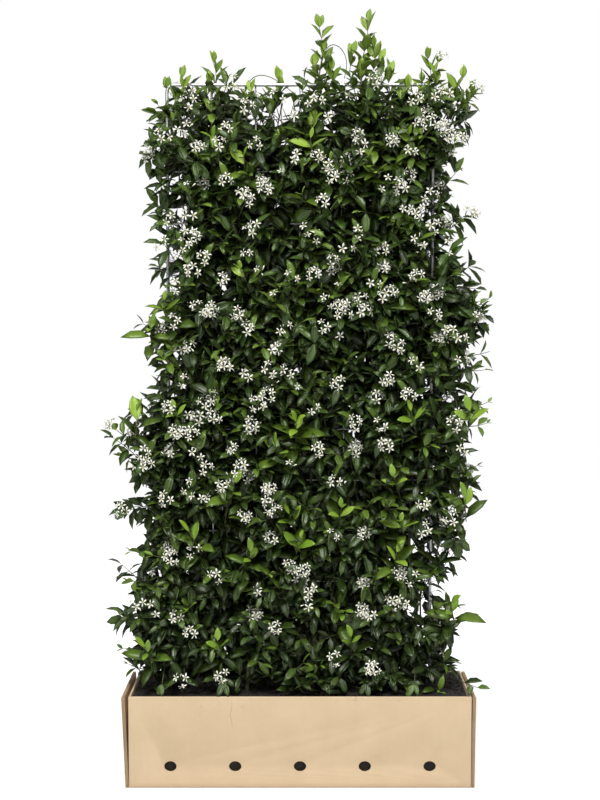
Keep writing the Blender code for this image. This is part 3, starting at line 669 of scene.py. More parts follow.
class Bundle:
    """Copies of patterns and tubes, gathered into one mesh with its own corners for each copy."""

    def __init__(self):
        self.points, self.sizes, self.corners, self.uv, self.age, self.tone = [], [], [], [], [], []
        self.count = 0

    def add(self, points, sizes, corners, uv, age, tone):
        self.points.append(points)
        self.sizes.append(sizes)
        self.corners.append(corners + self.count)
        self.uv.append(uv)
        self.age.append(np.broadcast_to(np.clip(age, 0, 1), len(points)))
        self.tone.append(np.full(len(points), tone))
        self.count += len(points)

    def stamp(self, pattern, matrix, age=None, tone=0.5):
        points, sizes, corners, uv, values = pattern
        m = np.array(matrix)
        placed = points @ m[:3, :3].T + m[:3, 3]
        self.add(placed, sizes, corners, uv, values if age is None else age, tone)

    def tube(self, path, radii, sides=5, tone=0.5):
        """A round stem along a path, closed at both ends."""
        path = np.array([tuple(p) for p in path])
        steps = np.gradient(path, axis=0)
        steps /= np.linalg.norm(steps, axis=1)[:, None] + 1e-9
        guide = np.array([0.13, 0.31, 0.94]) if abs(steps[0][2]) < 0.9 else np.array([0.94, 0.31, 0.13])
        right = np.cross(steps, guide)
        right /= np.linalg.norm(right, axis=1)[:, None] + 1e-9
        over = np.cross(right, steps)
        turns = np.arange(sides) * 2 * pi / sides
        ring = np.cos(turns)[None, :, None] * right[:, None] + np.sin(turns)[None, :, None] * over[:, None]
        points = (path[:, None] + ring * np.broadcast_to(radii, len(path))[:, None, None]).reshape(-1, 3)
        a = np.arange(len(path) - 1)[:, None] * sides + np.arange(sides)[None]
        b = np.arange(len(path) - 1)[:, None] * sides + (np.arange(sides)[None] + 1) % sides
        quads = np.stack([a, a + sides, b + sides, b], axis=-1).reshape(-1)
        last = (len(path) - 1) * sides
        caps = np.concatenate([np.arange(sides), last + np.arange(sides)[::-1]])
        corners = np.concatenate([quads, caps])
        sizes = np.array([4] * (len(quads) // 4) + [sides, sides])
        self.add(points, sizes, corners, np.zeros((len(corners), 2)), 0.0, tone)

    def make(self, name):
        mesh = bpy.data.meshes.new(name)
        points = np.concatenate(self.points)
        sizes = np.concatenate(self.sizes)
        corners = np.concatenate(self.corners)
        mesh.vertices.add(len(points))
        mesh.vertices.foreach_set("co", points.reshape(-1))
        mesh.loops.add(len(corners))
        mesh.loops.foreach_set("vertex_index", corners)
        mesh.polygons.add(len(sizes))
        mesh.polygons.foreach_set("loop_start", np.concatenate([[0], np.cumsum(sizes)[:-1]]))
        mesh.polygons.foreach_set("loop_total", sizes)
        mesh.uv_layers.new(name="blade").uv.foreach_set("vector", np.concatenate(self.uv).reshape(-1))
        for label, values in (("age", self.age), ("tone", self.tone)):
            mesh.attributes.new(label, "FLOAT", "POINT").data.foreach_set("value", np.concatenate(values))
        mesh.update(calc_edges=True)
        mesh.validate()
        mesh.shade_smooth()
        made = bpy.data.objects.new(name, mesh)
        bpy.context.scene.collection.objects.link(made)
        return made


# Patterns, each modelled once

LEAF_STATIONS = ((0.0, 0.0), (0.12, 0.055), (0.38, 0.200), (0.72, 0.170), (1.0, 0.0))
YOUNG_STATIONS = ((0.0, 0.0), (0.10, 0.075), (0.30, 0.205), (0.52, 0.245), (0.78, 0.165), (1.0, 0.0))
INNER_STATIONS = ((0.0, 0.0), (0.34, 0.185), (0.68, 0.175), (1.0, 0.0))
PETAL_STATIONS = ((0.0, 0.075), (0.66, 0.205), (1.0, 0.120))


def blade_from_grid(name, columns, stations, bend, thickness):
    """A thin closed blade: a grid drawn to the outline, given thickness that runs out at its edge."""
    deselect()
    rows = len(stations) - 1
    bpy.ops.mesh.primitive_grid_add(x_subdivisions=columns, y_subdivisions=rows, size=1)
    blade = just_made(name)
    blade.data.uv_layers[0].name = "blade"
    inner = blade.vertex_groups.new(name="inner")
    for v in blade.data.vertices:
        across, row = v.co.x * 2, round((v.co.y + 0.5) * rows)
        along, half = stations[row]
        inside = abs(across) < 0.99 and 0 < row < rows
        inner.add([v.index], 1.0 if inside else 0.0, "REPLACE")
        v.co = bend(across, along, half)
    add_modifier(
        blade, "thickness", "SOLIDIFY", thickness=thickness, offset=0, use_rim=False, vertex_group="inner"
    )
    apply_all(blade)
    open_mesh()
    bpy.ops.mesh.remove_doubles(threshold=0.0005)
    bpy.ops.mesh.normals_make_consistent(inside=False)
    close_mesh()
    return blade


def leaf_pattern(name, arch, fold, wave, twist, columns=4, stations=LEAF_STATIONS):
    def bend(across, along, half):
        x = across * half
        z = fold * abs(across) ** 1.4 * half - arch * along**2 + wave * sin(7 * along) * across * half
        turn = twist * along
        return (x * cos(turn) - z * sin(turn) * 0.2, along, z + x * sin(turn))

    return read_pattern(blade_from_grid(name, columns, stations, bend, 0.012))


def flower_pattern():
    """One starry flower of five pinwheel petals on a narrow tube. Unit size: a petal's length."""

    def bend(across, along, half):
        lean = 0.05 * sin(pi * along) + (0.055 if along > 0.7 and across > 0.5 else 0.0)
        slant = 0.05 * across if along > 0.9 else 0.0
        lift = 0.10 * along - 0.14 * along**2 + 0.35 * across * half
        return (across * half + lean, along + slant, lift)

    petal = blade_from_grid("petal", 2, PETAL_STATIONS, bend, 0.03)
    points, sizes, corners, uv, _ = read_pattern(petal)
    throat = np.clip(0.9 - points[:, 1] * 4, 0, 1)
    bundle = Bundle()
    for k in range(5):
        m = np.array(Matrix.Rotation(k * 2 * pi / 5, 4, "Z") @ Matrix.Translation((0, 0.03, 0)))
        bundle.add(points @ m[:3, :3].T + m[:3, 3], sizes, corners, uv, throat, 0.8)
    bundle.tube([(0, 0, -0.60), (0, 0, -0.25), (0, 0, 0.012)], [0.05, 0.080, 0.080], 5, 0.3)
    return read_pattern(bundle.make("flower_pattern"))


def bud_pattern():
    """A slim twisted bud, unit length."""
    bundle = Bundle()
    path = [(0, 0, 0), (0.02, 0, 0.3), (-0.01, 0.015, 0.62), (0.01, 0, 0.85), (0, 0, 1.0)]
    bundle.tube(path, [0.06, 0.07, 0.13, 0.11, 0.015], 6, 0.2)
    return read_pattern(bundle.make("bud_pattern"))


def frame_of(along, up, at, size):
    """Stands a pattern's +Y along a direction, with its face as near up as it goes."""
    along = along.normalized()
    across = along.cross(up)
    if across.length < 1e-4:
        across = along.orthogonal()
    across.normalize()
    up = across.cross(along)
    turn = Matrix((across, along, up)).transposed().to_4x4()
    return Matrix.Translation(at) @ turn @ Matrix.Scale(size, 4)



def facing(direction):
    """The turn that stands a pattern's +Z along a direction."""
    return direction.to_track_quat("Z", "Y").to_matrix().to_4x4()


# Foliage


class Foliage:
    """Everything that grows, gathered for each plant."""

    def __init__(self):
        gathered = [[Bundle() for _ in range(PLANT_COUNT)] for _ in range(5)]
        self.leaves, self.inner, self.stems, self.petals, self.buds = gathered
        self.rng = random.Random(29)
        self.mature = [
            leaf_pattern("leaf_a", 0.16, 0.55, 0.05, 0.10),
            leaf_pattern("leaf_b", 0.26, 0.40, 0.08, -0.15),
            leaf_pattern("leaf_c", 0.08, 0.70, -0.06, 0.05),
            leaf_pattern("leaf_d", 0.34, 0.35, 0.10, 0.25),
        ]
        self.young = [
            leaf_pattern("leaf_y", 0.08, 0.45, 0.03, 0.0, 4, YOUNG_STATIONS),
            leaf_pattern("leaf_z", -0.08, 0.35, 0.05, 0.1, 4, YOUNG_STATIONS),
        ]
        self.plain = [
            leaf_pattern("leaf_p", 0.20, 0.45, 0.0, 0.1, 2, INNER_STATIONS),
            leaf_pattern("leaf_q", 0.10, 0.60, 0.0, -0.2, 2, INNER_STATIONS),
        ]
        self.flower = flower_pattern()
        self.bud = bud_pattern()

    def aged(self, mean, spread):
        return max(0.0, self.rng.gauss(mean, spread))

    def leaf(self, i, at, along, up, length, age, tone, inner=False):
        """One leaf of a plant, left out where it would sink into the planter, stray or close a gap."""
        if inner:
            pattern = self.rng.choice(self.plain)
        else:
            pattern = self.rng.choice(self.young if age > 0.6 else self.mature)
        tip = at + along.normalized() * length
        by_end_panel = abs(tip.x) > TRAY_LENGTH / 2 - 0.02
        floor = END_HEIGHT + 0.020 if by_end_panel else SOIL_RISE + 0.004
        sunk = tip.z < floor and abs(tip.y) < TRAY_DEPTH / 2 + 0.01
        if sunk or not inside_box(tip):
            return
        if in_gap((at + tip) / 2) and self.rng.random() < GAP_SHARE:
            return
        # Painted shade: the leaf's tone is darkened the lower it grows, darkest near the planter
        tone *= 0.30 + 0.70 * daylight_at(at.z)
        into = self.inner if inner else self.leaves
        into[i].stamp(pattern, frame_of(along, up, at, length), age, tone)

    def pair(self, i, at, way, turn, length, age, out, spread, inner=False):
        """Two opposite leaves at a node, their faces to the light."""
        rng = self.rng
        across = way.orthogonal().normalized()
        across.rotate(Matrix.Rotation(turn, 3, way))
        tone = rng.random()
        slack = (0.72 - 0.34 * daylight_at(at.z)) * (1 - min(1.0, age * 1.6))
        for side in (1, -1):
            angle = radians(spread * rng.uniform(0.85, 1.15))
            droop = 0.04 + slack * rng.random() ** 1.3
            along = way * cos(angle) + across * side * sin(angle) + Vector((0, 0, -droop))
            along += Vector((rng.uniform(-0.14, 0.14), rng.uniform(-0.14, 0.14), rng.uniform(-0.1, 0.1)))
            up = Vector((rng.uniform(-0.35, 0.35), 0, 1)) + out * rng.uniform(0.05, 0.6) + way * 0.45
            shade = clamp(tone + rng.uniform(-0.2, 0.2))
            self.leaf(i, at, along, up, length * rng.uniform(0.88, 1.12), age, shade, inner)

    def shoot(self, root, tip, out, end="leaves", age=0.0, size=1.0):
        """A curved shoot with pairs of leaves, ending in young leaves, a head of flowers or neither."""
        rng = self.rng
        i = plant_at(root.x)
        run = tip - root
        length = run.length
        sag = Vector((rng.uniform(-0.12, 0.12), 0, rng.uniform(-0.16, 0.06))) * length

        def place(t):
            at = root + run * t + sag * (4 * t * (1 - t)) * 0.5
            if abs(at.x) > TRAY_LENGTH / 2 - 0.03:
                at.z = max(at.z, END_HEIGHT + 0.025)
            return at

        self.stems[i].tube([place(t) for t in (0, 0.35, 0.7, 1)], SHOOT_RADII, 3, 0.2 + 0.6 * age)
        bare = 0.010 if end == "flowers" else 0.0
        turn = rng.uniform(0, pi)
        for k in range(max(2, int((length - 0.012) / NODE_PITCH) + 1)):
            t = 1 - (k * NODE_PITCH + bare) / length
            if t < 0.10:
                break
            node = min(k, 3)
            way = (run + sag * (4 - 8 * t) * 0.5).normalized()
            years = age * AGE_SHARE[node] + rng.uniform(0.0, AGE_SPREAD[node])
            long = rng.uniform(*(YOUNG_LENGTH if years > 0.55 else LEAF_LENGTH)) * size
            spread = 48 + 8 * node
            if k == 0 and end == "leaves":
                long *= 0.74
                spread = 30
            self.pair(i, place(t), way, turn, long, min(1.0, years), out, spread, k > 1)
            turn += pi / 2 + rng.uniform(-0.3, 0.3)
        if end == "flowers":
            self.head(i, tip, (run - sag).normalized(), out, rng.choice(HEAD_SIZES))

    def head(self, i, at, way, out, flowers):
        """A loose head of flowers and a few buds, each on its own short stalk."""
        rng = self.rng
        way = (way + out * 0.5 + Vector((0, 0, 0.15))).normalized()
        centre = at + way * rng.uniform(0.010, 0.020)
        self.stems[i].tube([at - way * 0.004, centre], [0.001, 0.0008], 3, 0.9)
        start = rng.uniform(0, 2 * pi)
        for k in range(flowers + rng.randint(0, 3)):
            in_bud = k >= flowers
            lean = rng.uniform(10, 80) if in_bud else 8 + 74 * ((k + 0.5) / flowers) ** 0.6
            across = way.orthogonal().normalized()
            across.rotate(Matrix.Rotation(start + k * TURN_OF_STALKS, 3, way))
            direction = (way * cos(radians(lean)) + across * sin(radians(lean))).normalized()
            end = centre + direction * rng.uniform(*STALK_LENGTH)
            if not inside_box(end + direction * 0.006):
                continue
            self.stems[i].tube([centre, centre.lerp(end, 0.65)], STALK_RADIUS, 3, 0.95)
            if in_bud:
                self.bud_at(i, centre.lerp(end, 0.5), direction)
            else:
                self.flower_at(i, end, direction, out)

    def bud_at(self, i, at, direction):
        along = (direction + Vector((0, 0, 0.2))).normalized()
        size = Matrix.Scale(self.rng.uniform(*BUD_LENGTH), 4)
        self.buds[i].stamp(self.bud, Matrix.Translation(at) @ facing(along) @ size, 0.25, self.rng.random())

    def flower_at(self, i, at, direction, out):
        face = (direction + out * 0.5).normalized()
        turn = facing(face) @ Matrix.Rotation(self.rng.uniform(0, pi), 4, "Z")
        size = Matrix.Scale(FLOWER_SPAN * self.rng.uniform(0.85, 1.12), 4)
        self.petals[i].stamp(self.flower, Matrix.Translation(at) @ turn @ size, None, self.rng.random())


def solid_leaf_at(tip):
    """The solid leaf that ends in this corner, or None: four long edges, two of them to its thin ridge."""
    near = [edge.other_vert(tip).co for edge in tip.link_edges]
    if len(near) != 4 or min((co - tip.co).length for co in near) < 0.03:
        return None
    gaps = sorted(((a - b).length, i, j) for i, a in enumerate(near) for j, b in enumerate(near) if i < j)
    ridge, i, j = gaps[0]
    if ridge > 0.004:
        return None
    sides = [co for k, co in enumerate(near) if k not in (i, j)]
    middle = (near[i] + near[j]) / 2
    along = tip.co - middle
    up = ((sides[0] + sides[1]) / 2 - middle).normalized()
    length = along.length / 0.57
    along.normalize()
    return middle - along * length * 0.44, along, up, length


def solid_leaves(node):
    """The solid plant's own leaves, each as (base, direction, upward side, length)."""
    bm = bmesh.new()
    bm.from_mesh(node.data)
    bmesh.ops.remove_doubles(bm, verts=bm.verts, dist=0.00005)
    found = [solid_leaf_at(v) for v in bm.verts]
    bm.free()
    return [leaf for leaf in found if leaf]


def paired(leaves):
    """The solid leaves in opposite pairs, each as (place, direction, its leaves)."""
    pairs = []
    used = set()
    for a, (base, _, _, _) in enumerate(leaves):
        if a in used:
            continue
        used.add(a)
        group = [leaves[a]]
        free = [b for b in range(len(leaves)) if b not in used]
        mate = min(free, key=lambda b: (leaves[b][0] - base).length, default=None)
        if mate is not None and (leaves[mate][0] - base).length < 0.012:
            used.add(mate)
            group.append(leaves[mate])
        at = sum((leaf[0] for leaf in group), Vector()) / len(group)
        way = sum((leaf[1] for leaf in group), Vector()) + Vector((0, 0, 0.45))
        pairs.append((at, way.normalized(), group))
    return pairs


def grow_from_solids(plants):
    """Real shoots in the places of the solid ones: each pair of solid leaves ends a shoot."""
    rng = plants.rng
    pairs = []
    for i in range(PLANT_COUNT):
        pairs += paired(solid_leaves(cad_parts[f"plant_{i + 1}"]))
    for at, way, group in pairs:
        if at.z > HOOP_TOP - 0.02:
            continue
        i = plant_at(at.x)
        for base, along, up, length in group:
            length = min(length, LONGEST_SOLID_LEAF) * 0.92
            plants.leaf(i, base, along, up, length, 0.08 + 0.25 * rng.random() ** 3, rng.random())
        depth = at.y - ROOT_DEPTH
        side = -1 if depth < 0 else 1
        root = at - way * min(0.12, max(0.05, abs(depth)))
        if abs(depth) > 0.02:
            root.y = ROOT_DEPTH + side * 0.02
        root.x -= root.x * 0.06
        plants.shoot(root, at + way * 0.004, Vector((0, side, 0)), "none", 0.0)
    return pairs


def grow_heads_from_solids(plants, pairs):
    """A real head of flowers in the place of each solid one."""
    for _, centre in solid_heads():
        at, _, _ = min(pairs, key=lambda pair: (pair[0] - centre).length)
        out = Vector((0, -1 if centre.y < ROOT_DEPTH else 1, 0))
        direction = (centre - at).normalized()
        start = centre - direction * 0.02
        i = plant_at(centre.x)
        plants.stems[i].tube([at, at.lerp(start, 0.5), start], [0.0012, 0.0011, 0.001], 4, 0.6)
        plants.head(i, start, direction, out, plants.rng.randint(5, 8))


def grow_face(plants, side, step, least, most):
    """Rows of shoots over the front or the back, longer where the foliage bulges."""
    rng = plants.rng
    row = 0
    z, top = FACE_HEIGHTS
    while z < top:
        left, right = edges_at(z)
        light = daylight_at(z)
        x = left + 0.06 + (step / 2 if row % 2 else 0)
        while x < right - 0.06:
            root = Vector((
                x + rng.uniform(-0.6, 0.6) * step,
                rng.uniform(-0.01, 0.01),
                z + rng.uniform(-0.6, 0.6) * step,
            ))
            x += step
            bulge = relief(root.x, root.z, side)
            if bulge < -0.35 + 0.17 * (1 - light) and rng.random() < 0.78:
                continue
            share = clamp(0.5 + 0.6 * bulge + rng.uniform(-0.15, 0.15))
            rise = rng.uniform(-0.02, 0.085)
            tip = root + Vector((rng.uniform(-0.08, 0.08), 0, rise))
            root.y += ROOT_DEPTH - 0.03 if side < 0 else ROOT_DEPTH
            tip.y = side * (least + share * (most - least)) + (0.02 if side > 0 else 0)
            old = rng.random() > 0.10 + 0.22 * light
            age = plants.aged(0.04, 0.09) if old else rng.uniform(0.25, 0.8)
            plants.shoot(root, tip, Vector((0, side, 0)), "leaves", age)
        z += step * 0.9
        row += 1


def grow_edge(plants, sign):
    """Shoots that close the left or the right edge."""
    rng = plants.rng
    foot, top = EDGE_HEIGHTS
    for k in range(EDGE_SHOOTS):
        z = foot + (k + rng.random()) * (top - foot) / EDGE_SHOOTS
        left, right = edges_at(z)
        reach = (right if sign > 0 else -left) - rng.uniform(0.045, 0.100)
        inward = reach - rng.uniform(0.06, 0.12)
        root = Vector((sign * inward, rng.uniform(-0.05, 0.07), z - rng.uniform(0.01, 0.06)))
        tip = Vector((sign * reach, root.y + rng.uniform(-0.07, 0.07), z + rng.uniform(-0.01, 0.03)))
        out = Vector((sign * 0.8, -0.5 if k % 3 else 0.5, 0))
        end = "flowers" if rng.random() < 0.2 else "leaves"
        plants.shoot(root, tip, out, end, plants.aged(0.15, 0.2))


def grow_before_upright(plants, sign):
    """Shoots that cover most of an upright of the hoop."""
    rng = plants.rng
    for k in range(UPRIGHT_SHOOTS):
        z = 0.34 + 0.048 * k + rng.uniform(-0.015, 0.015)
        root = Vector((sign * rng.uniform(0.355, 0.375), -0.015, z))
        across, depth = sign * rng.uniform(0.375, 0.410), -rng.uniform(0.050, 0.085)
        tip = Vector((across, depth, z + rng.uniform(0.0, 0.03)))
        if k % 4 != 1:
            plants.shoot(root, tip, FRONT, "leaves", plants.aged(0.08, 0.15))


def grow_along_rail(plants):
    """Shoots that cover the rail of the hoop."""
    rng = plants.rng
    for k in range(RAIL_SHOOTS):
        x = -0.42 + 0.88 * (k + rng.random()) / RAIL_SHOOTS
        z = rng.uniform(1.97, 2.04)
        root = Vector((x, rng.uniform(-0.05, 0.08), z - rng.uniform(0.05, 0.09)))
        tip = Vector((x + rng.uniform(-0.05, 0.05), root.y + rng.uniform(-0.06, 0.05), z))
        out = Vector((0, -0.5 if root.y < 0.03 else 0.5, 0.5))
        end = "flowers" if rng.random() < 0.25 else "leaves"
        plants.shoot(root, tip, out, end, plants.aged(0.3, 0.2), 0.9)


def grow_screen(plants):
    """Shoots all over the screen, by rule."""
    for face in FACES:
        grow_face(plants, *face)
    for grow in (grow_edge, grow_before_upright):
        for sign in (-1, 1):
            grow(plants, sign)
    grow_along_rail(plants)


def grow_accents(plants):
    """The heads of flowers and lime shoots that catch the eye at the front, and more heads by rule."""
    rng = plants.rng
    for x, z in BIG_HEADS:
        tip = Vector((x, FRONT_FACE, z))
        plants.shoot(tip + Vector((rng.uniform(-0.03, 0.03), 0.10, -0.04)), tip, FRONT, "none", 0.1)
        plants.head(plant_at(x), tip, FRONT, FRONT, rng.randint(5, 8))
    for x, z in SMALL_HEADS:
        tip = Vector((x, rng.uniform(FRONT_FACE, -0.10), z))
        plants.shoot(tip + Vector((rng.uniform(-0.03, 0.03), 0.08, -0.04)), tip, FRONT, "none", 0.1)
        plants.head(plant_at(x), tip, FRONT, FRONT, rng.randint(2, 4))
    for x, z in LIME_SHOOTS:
        tip = Vector((x, FRONT_FACE, z))
        root = tip + Vector((rng.uniform(-0.03, 0.03), 0.07, -0.08))
        plants.shoot(root, tip, FRONT * 2.2, "leaves", 0.95, 1.5)
    for count, side in ((FRONT_HEADS, -1), (BACK_HEADS, 1)):
        for k in range(count):
            z = 0.42 + 1.60 * ((k + rng.random()) / count) ** 0.72
            left, right = edges_at(z)
            x = rng.uniform(left + 0.05, right - 0.05)
            tip = Vector((x, side * rng.uniform(0.09, 0.130), z))
            root = tip + Vector((rng.uniform(-0.04, 0.04), -side * 0.08, -0.04))
            plants.shoot(root, tip, Vector((0, side, 0)), "flowers", 0.1)
    for (root_x, root_z), (tip_x, tip_z), end in SIDE_SPRIGS:
        tip = Vector((tip_x, rng.uniform(-0.05, 0.02), tip_z))
        out = Vector((0.6 if tip_x > 0 else -0.6, -0.6, 0.2))
        plants.shoot(Vector((root_x, 0, root_z)), tip, out, end, 0.5, 0.82)


def grow_over_rim(plants):
    """A few low leaves at the front that hang over the rim of the tray."""
    rng = plants.rng
    for x in RIM_LEAVES:
        i = plant_at(x)
        node = Vector((x, -0.124, 0.302 + rng.uniform(-0.005, 0.004)))
        stem = [node + Vector((0.004, 0.06, 0.045)), node + Vector((0.002, 0.02, 0.022)), node]
        plants.stems[i].tube(stem, 0.0012, 4, 0.5)
        for lean in (-0.45 + rng.uniform(-0.2, 0.2), 0.35 + rng.uniform(-0.3, 0.3)):
            along = Vector((lean + rng.uniform(-0.1, 0.1), -0.60, -0.76))
            place = frame_of(along, Vector((0, -1, 0.6)), node, rng.uniform(0.038, 0.054))
            plants.leaves[i].stamp(rng.choice(plants.mature), place, 0.2, rng.random())


def grow_top_shoot(plants, x, top, lean):
    """A young shoot that stands above the rail, its narrow leaves turned to the front."""
    rng = plants.rng
    i = plant_at(x)
    y = rng.uniform(-0.03, 0.03)
    path = []
    for t in np.linspace(0, 1, TOP_STEPS + 1):
        across = x - lean * 0.6 * (1 - t) + 0.008 * sin(7 * t + x * 40)
        path.append(Vector((across, y, TOP_ROOT + (top - 0.035 - TOP_ROOT) * t)))
    plants.stems[i].tube(path, np.linspace(0.0020, 0.0008, len(path)), 5, 0.6)
    pairs = int((path[-1].z - path[0].z) / TOP_PITCH)
    turn = rng.uniform(0, pi)
    for k in range(pairs + 1):
        node = min(k, 3)
        spot = (1 - k / (pairs + 0.5)) * TOP_STEPS
        step = int(spot)
        at = path[step].lerp(path[min(TOP_STEPS, step + 1)], spot - step)
        length = TOP_LENGTH[node] * rng.uniform(0.88, 1.12)
        age = TOP_AGE[node] + rng.uniform(-0.1, 0.1)
        plants.pair(i, at, UPWARDS, turn, length, age, FRONT * 1.6, TOP_LEAN[node])
        turn += pi / 2 + rng.uniform(-0.4, 0.4)


def rounded(path):
    """The path with its corners cut three times over."""
    for _ in range(3):
        cut = [path[0]]
        for a, b in zip(path, path[1:]):
            cut += [a.lerp(b, 0.25), a.lerp(b, 0.75)]
        path = cut + [path[-1]]
    return path


def grow_top(plants):
    """The young shoots above the rail, and the bare stems that loop there."""
    for x, top, lean in TOP_SHOOTS:
        grow_top_shoot(plants, x, top, lean)
    for points in BARE_STEMS:
        path = rounded([Vector((x, 0.01, z)) for x, z in points])
        plants.stems[plant_at(points[0][0])].tube(path, np.linspace(0.0016, 0.0010, len(path)), 5, 0.1)


def trunk_path(i, k, middle):
    """A woody stem that leaves the compost straight and then twines up the wires."""
    across, start, _ = TRUNKS[k]
    path = []
    for s in range(TRUNK_STEPS + 1):
        z = 0.20 + s * (2.0 - 0.20) / TRUNK_STEPS
        sway = 0.018 * sin(5.1 * z + k * 2.2 + i) + 0.010 * sin(17 * z + 3 * k + i)
        share = clamp((z - 0.27) / 0.2)
        depth = start * (1 - share) + share * (0.016 * sin(9 * z + 1.7 * k + i) + 0.004)
        path.append((middle + across + sway * share, depth, z))
    return path


def thin_stem_path(rng, k, middle):
    """A thinner stem that wanders up through the middle of the screen."""
    foot = rng.uniform(0.3, 1.7)
    x = middle + rng.uniform(-0.10, 0.10)
    left, right = edges_at(foot)
    x = clamp(x * rng.uniform(0.8, 1.25), left + 0.12, right - 0.12)
    height = rng.uniform(0.2, 0.45)
    slope = rng.uniform(-0.12, 0.12)
    path = []
    for s in range(THIN_STEPS + 1):
        t = s / THIN_STEPS
        across = clamp(x + slope * t + 0.02 * sin(9 * t + k), -0.38, 0.38)
        depth = 0.03 * sin(6 * t + k) + rng.uniform(-0.002, 0.002)
        path.append((across, depth, min(foot + height * t, 2.02)))
    return path


def grow_vines(plants):
    """Woody stems that twine from the compost to the rail, and thinner ones among them."""
    trunk_taper = [np.linspace(radius, 0.0018, TRUNK_STEPS + 1) for _, _, radius in TRUNKS]
    thin_taper = np.linspace(0.0022, 0.0012, THIN_STEPS + 1)
    for i in range(PLANT_COUNT):
        middle = (i - (PLANT_COUNT - 1) / 2) * HOOP_WIDTH / PLANT_COUNT
        for k, taper in enumerate(trunk_taper):
            plants.stems[i].tube(trunk_path(i, k, middle), taper, 7, 0.1)
        for k in range(THIN_STEMS):
            plants.stems[i].tube(thin_stem_path(plants.rng, k, middle), thin_taper, 5, 0.4)


def grow_inner_leaves(plants):
    """Older leaves close to the wires, which close most of the gaps; they are dark partly from age and
    partly from painted shade, a low tone.
    """
    rng = plants.rng
    for _ in range(INNER_LEAVES):
        z = rng.uniform(0.29, 1.99)
        left, right = edges_at(z)
        x = rng.uniform(left + 0.07, right - 0.07)
        side = rng.choice((-1, 1))
        at = Vector((x, rng.uniform(-0.020, 0.075), z))
        if z > 1.90 and rng.random() < (z - 1.90) / 0.09 * 0.75:
            continue
        along = Vector((rng.uniform(-1, 1), side * rng.uniform(0.1, 0.5), rng.uniform(-1.2, 0.4)))
        up = Vector((rng.uniform(-0.4, 0.4), side, rng.uniform(0.1, 0.5)))
        length = rng.uniform(*LEAF_LENGTH) * 1.15
        # Painted shade: inner leaves get a tone of at most 0.25, darker than the outer leaves
        plants.leaf(plant_at(x), at, along, up, length, 0.0, 0.25 * rng.random(), inner=True)


def make_plants():
    """Four plants, each in five pieces: leaves, inner leaves, stems, petals and buds."""
    plants = Foliage()
    pairs = grow_from_solids(plants)
    grow_heads_from_solids(plants, pairs)
    for grow in (grow_vines, grow_inner_leaves, grow_screen, grow_accents, grow_top, grow_over_rim):
        grow(plants)
    leaf, petal = leaf_material(), petal_material()
    bark = stem_material("jasmine_stem", colour(0.030, 0.022, 0.012), colour(0.10, 0.13, 0.04), 0.7)
    heads = [[] for _ in range(PLANT_COUNT)]
    for name, centre in solid_heads():
        heads[plant_at(centre.x)].append(name)
    for i in range(PLANT_COUNT):
        dress(plants.leaves[i].make(f"leaves_{i + 1}"), leaf, "leaves", f"plant_{i + 1}")
        dress(plants.inner[i].make(f"inner_leaves_{i + 1}"), leaf, "leaves")
        dress(plants.stems[i].make(f"stems_{i + 1}"), bark, "leaves")
        dress(plants.petals[i].make(f"petals_{i + 1}"), petal, "petals", *heads[i])
        dress(plants.buds[i].make(f"buds_{i + 1}"), petal, "petals")


# Frame, compost and planter


def make_wire_frame(material):
    """Round hoop and welded grid, with a small weld bead at each crossing."""
    bundle = Bundle()
    half = HOOP_WIDTH / 2
    turn = [pi / 2 * k / 6 for k in range(7)]
    bend = [(half - HOOP_CORNER * (1 - cos(a)), HOOP_TOP - HOOP_CORNER * (1 - sin(a))) for a in turn]
    right = [(half, HOOP_FOOT), (half, 0.7), (half, 1.4)] + bend
    route = [(x, 0, z) for x, z in right] + [(0, 0, HOOP_TOP)] + [(-x, 0, z) for x, z in reversed(right)]
    bundle.tube(route, HOOP_RADIUS, 14)
    offset = WIRE_RADIUS - 0.0006
    columns = [(i + 1) * HOOP_WIDTH / (WIRE_COLUMNS + 1) - half for i in range(WIRE_COLUMNS)]
    for x in columns:
        bundle.tube([(x, offset, z) for z in (HOOP_FOOT, 1.0, HOOP_TOP)], WIRE_RADIUS, 10)
    for k in range(WIRE_ROWS):
        z = HOOP_TOP - FIRST_ROW_DROP - k * WIRE_PITCH_Z
        bundle.tube([(x, -offset, z) for x in (-half, 0, half)], WIRE_RADIUS, 10)
        for x in columns:
            bundle.tube([(x - 0.0022, 0, z), (x, 0, z), (x + 0.0022, 0, z)], [0.0012, 0.0021, 0.0012], 6)
    dress(bundle.make("galvanised_frame"), material, "galvanised_wire", "wire_frame")


def mound_at(x, y):
    """How much higher the compost lies towards the back, most of all at the right end."""
    back = max(0.0, y / TRAY_DEPTH * 2)
    return back * (0.005 + 0.011 * clamp((x - 0.20) / 0.20))


def make_bed(half, depth):
    """The bed of compost, lumpy on top and flat below."""
    deselect()
    cells, rows = BED_CELLS
    place = (0, 0, BED_TOP)
    bpy.ops.mesh.primitive_grid_add(x_subdivisions=cells, y_subdivisions=rows, size=1, location=place)
    bed = just_made("compost")
    bpy.ops.transform.resize(value=(2 * half, 2 * depth, 1))
    settle(bed)
    open_mesh()
    bpy.ops.mesh.extrude_region_move(TRANSFORM_OT_translate={"value": (0, 0, -BED_THICKNESS)})
    bpy.ops.mesh.select_all(action="SELECT")
    bpy.ops.mesh.normals_make_consistent(inside=False)
    close_mesh()
    for v in bed.data.vertices:
        if v.co.z > 0.1:
            p = v.co
            edge = min(1.0, (half - abs(p.x)) / EDGE_BAND, (depth - abs(p.y)) / EDGE_BAND)
            lump = noise.noise(p * 18) * 0.006 + noise.noise(p * 55) * 0.004 + noise.noise(p * 140) * 0.0022
            v.co.z += lump * max(0.25, edge) + mound_at(p.x, p.y) * min(1.0, edge + 0.4)
    bm = bmesh.new()
    bm.from_mesh(bed.data)
    low = [f for f in bm.faces if f.normal.z < -0.9 and f.calc_center_median().z < 0.1]
    bmesh.ops.dissolve_faces(bm, faces=low)
    bm.to_mesh(bed.data)
    bm.free()
    bed.data.shade_smooth()
    return bed


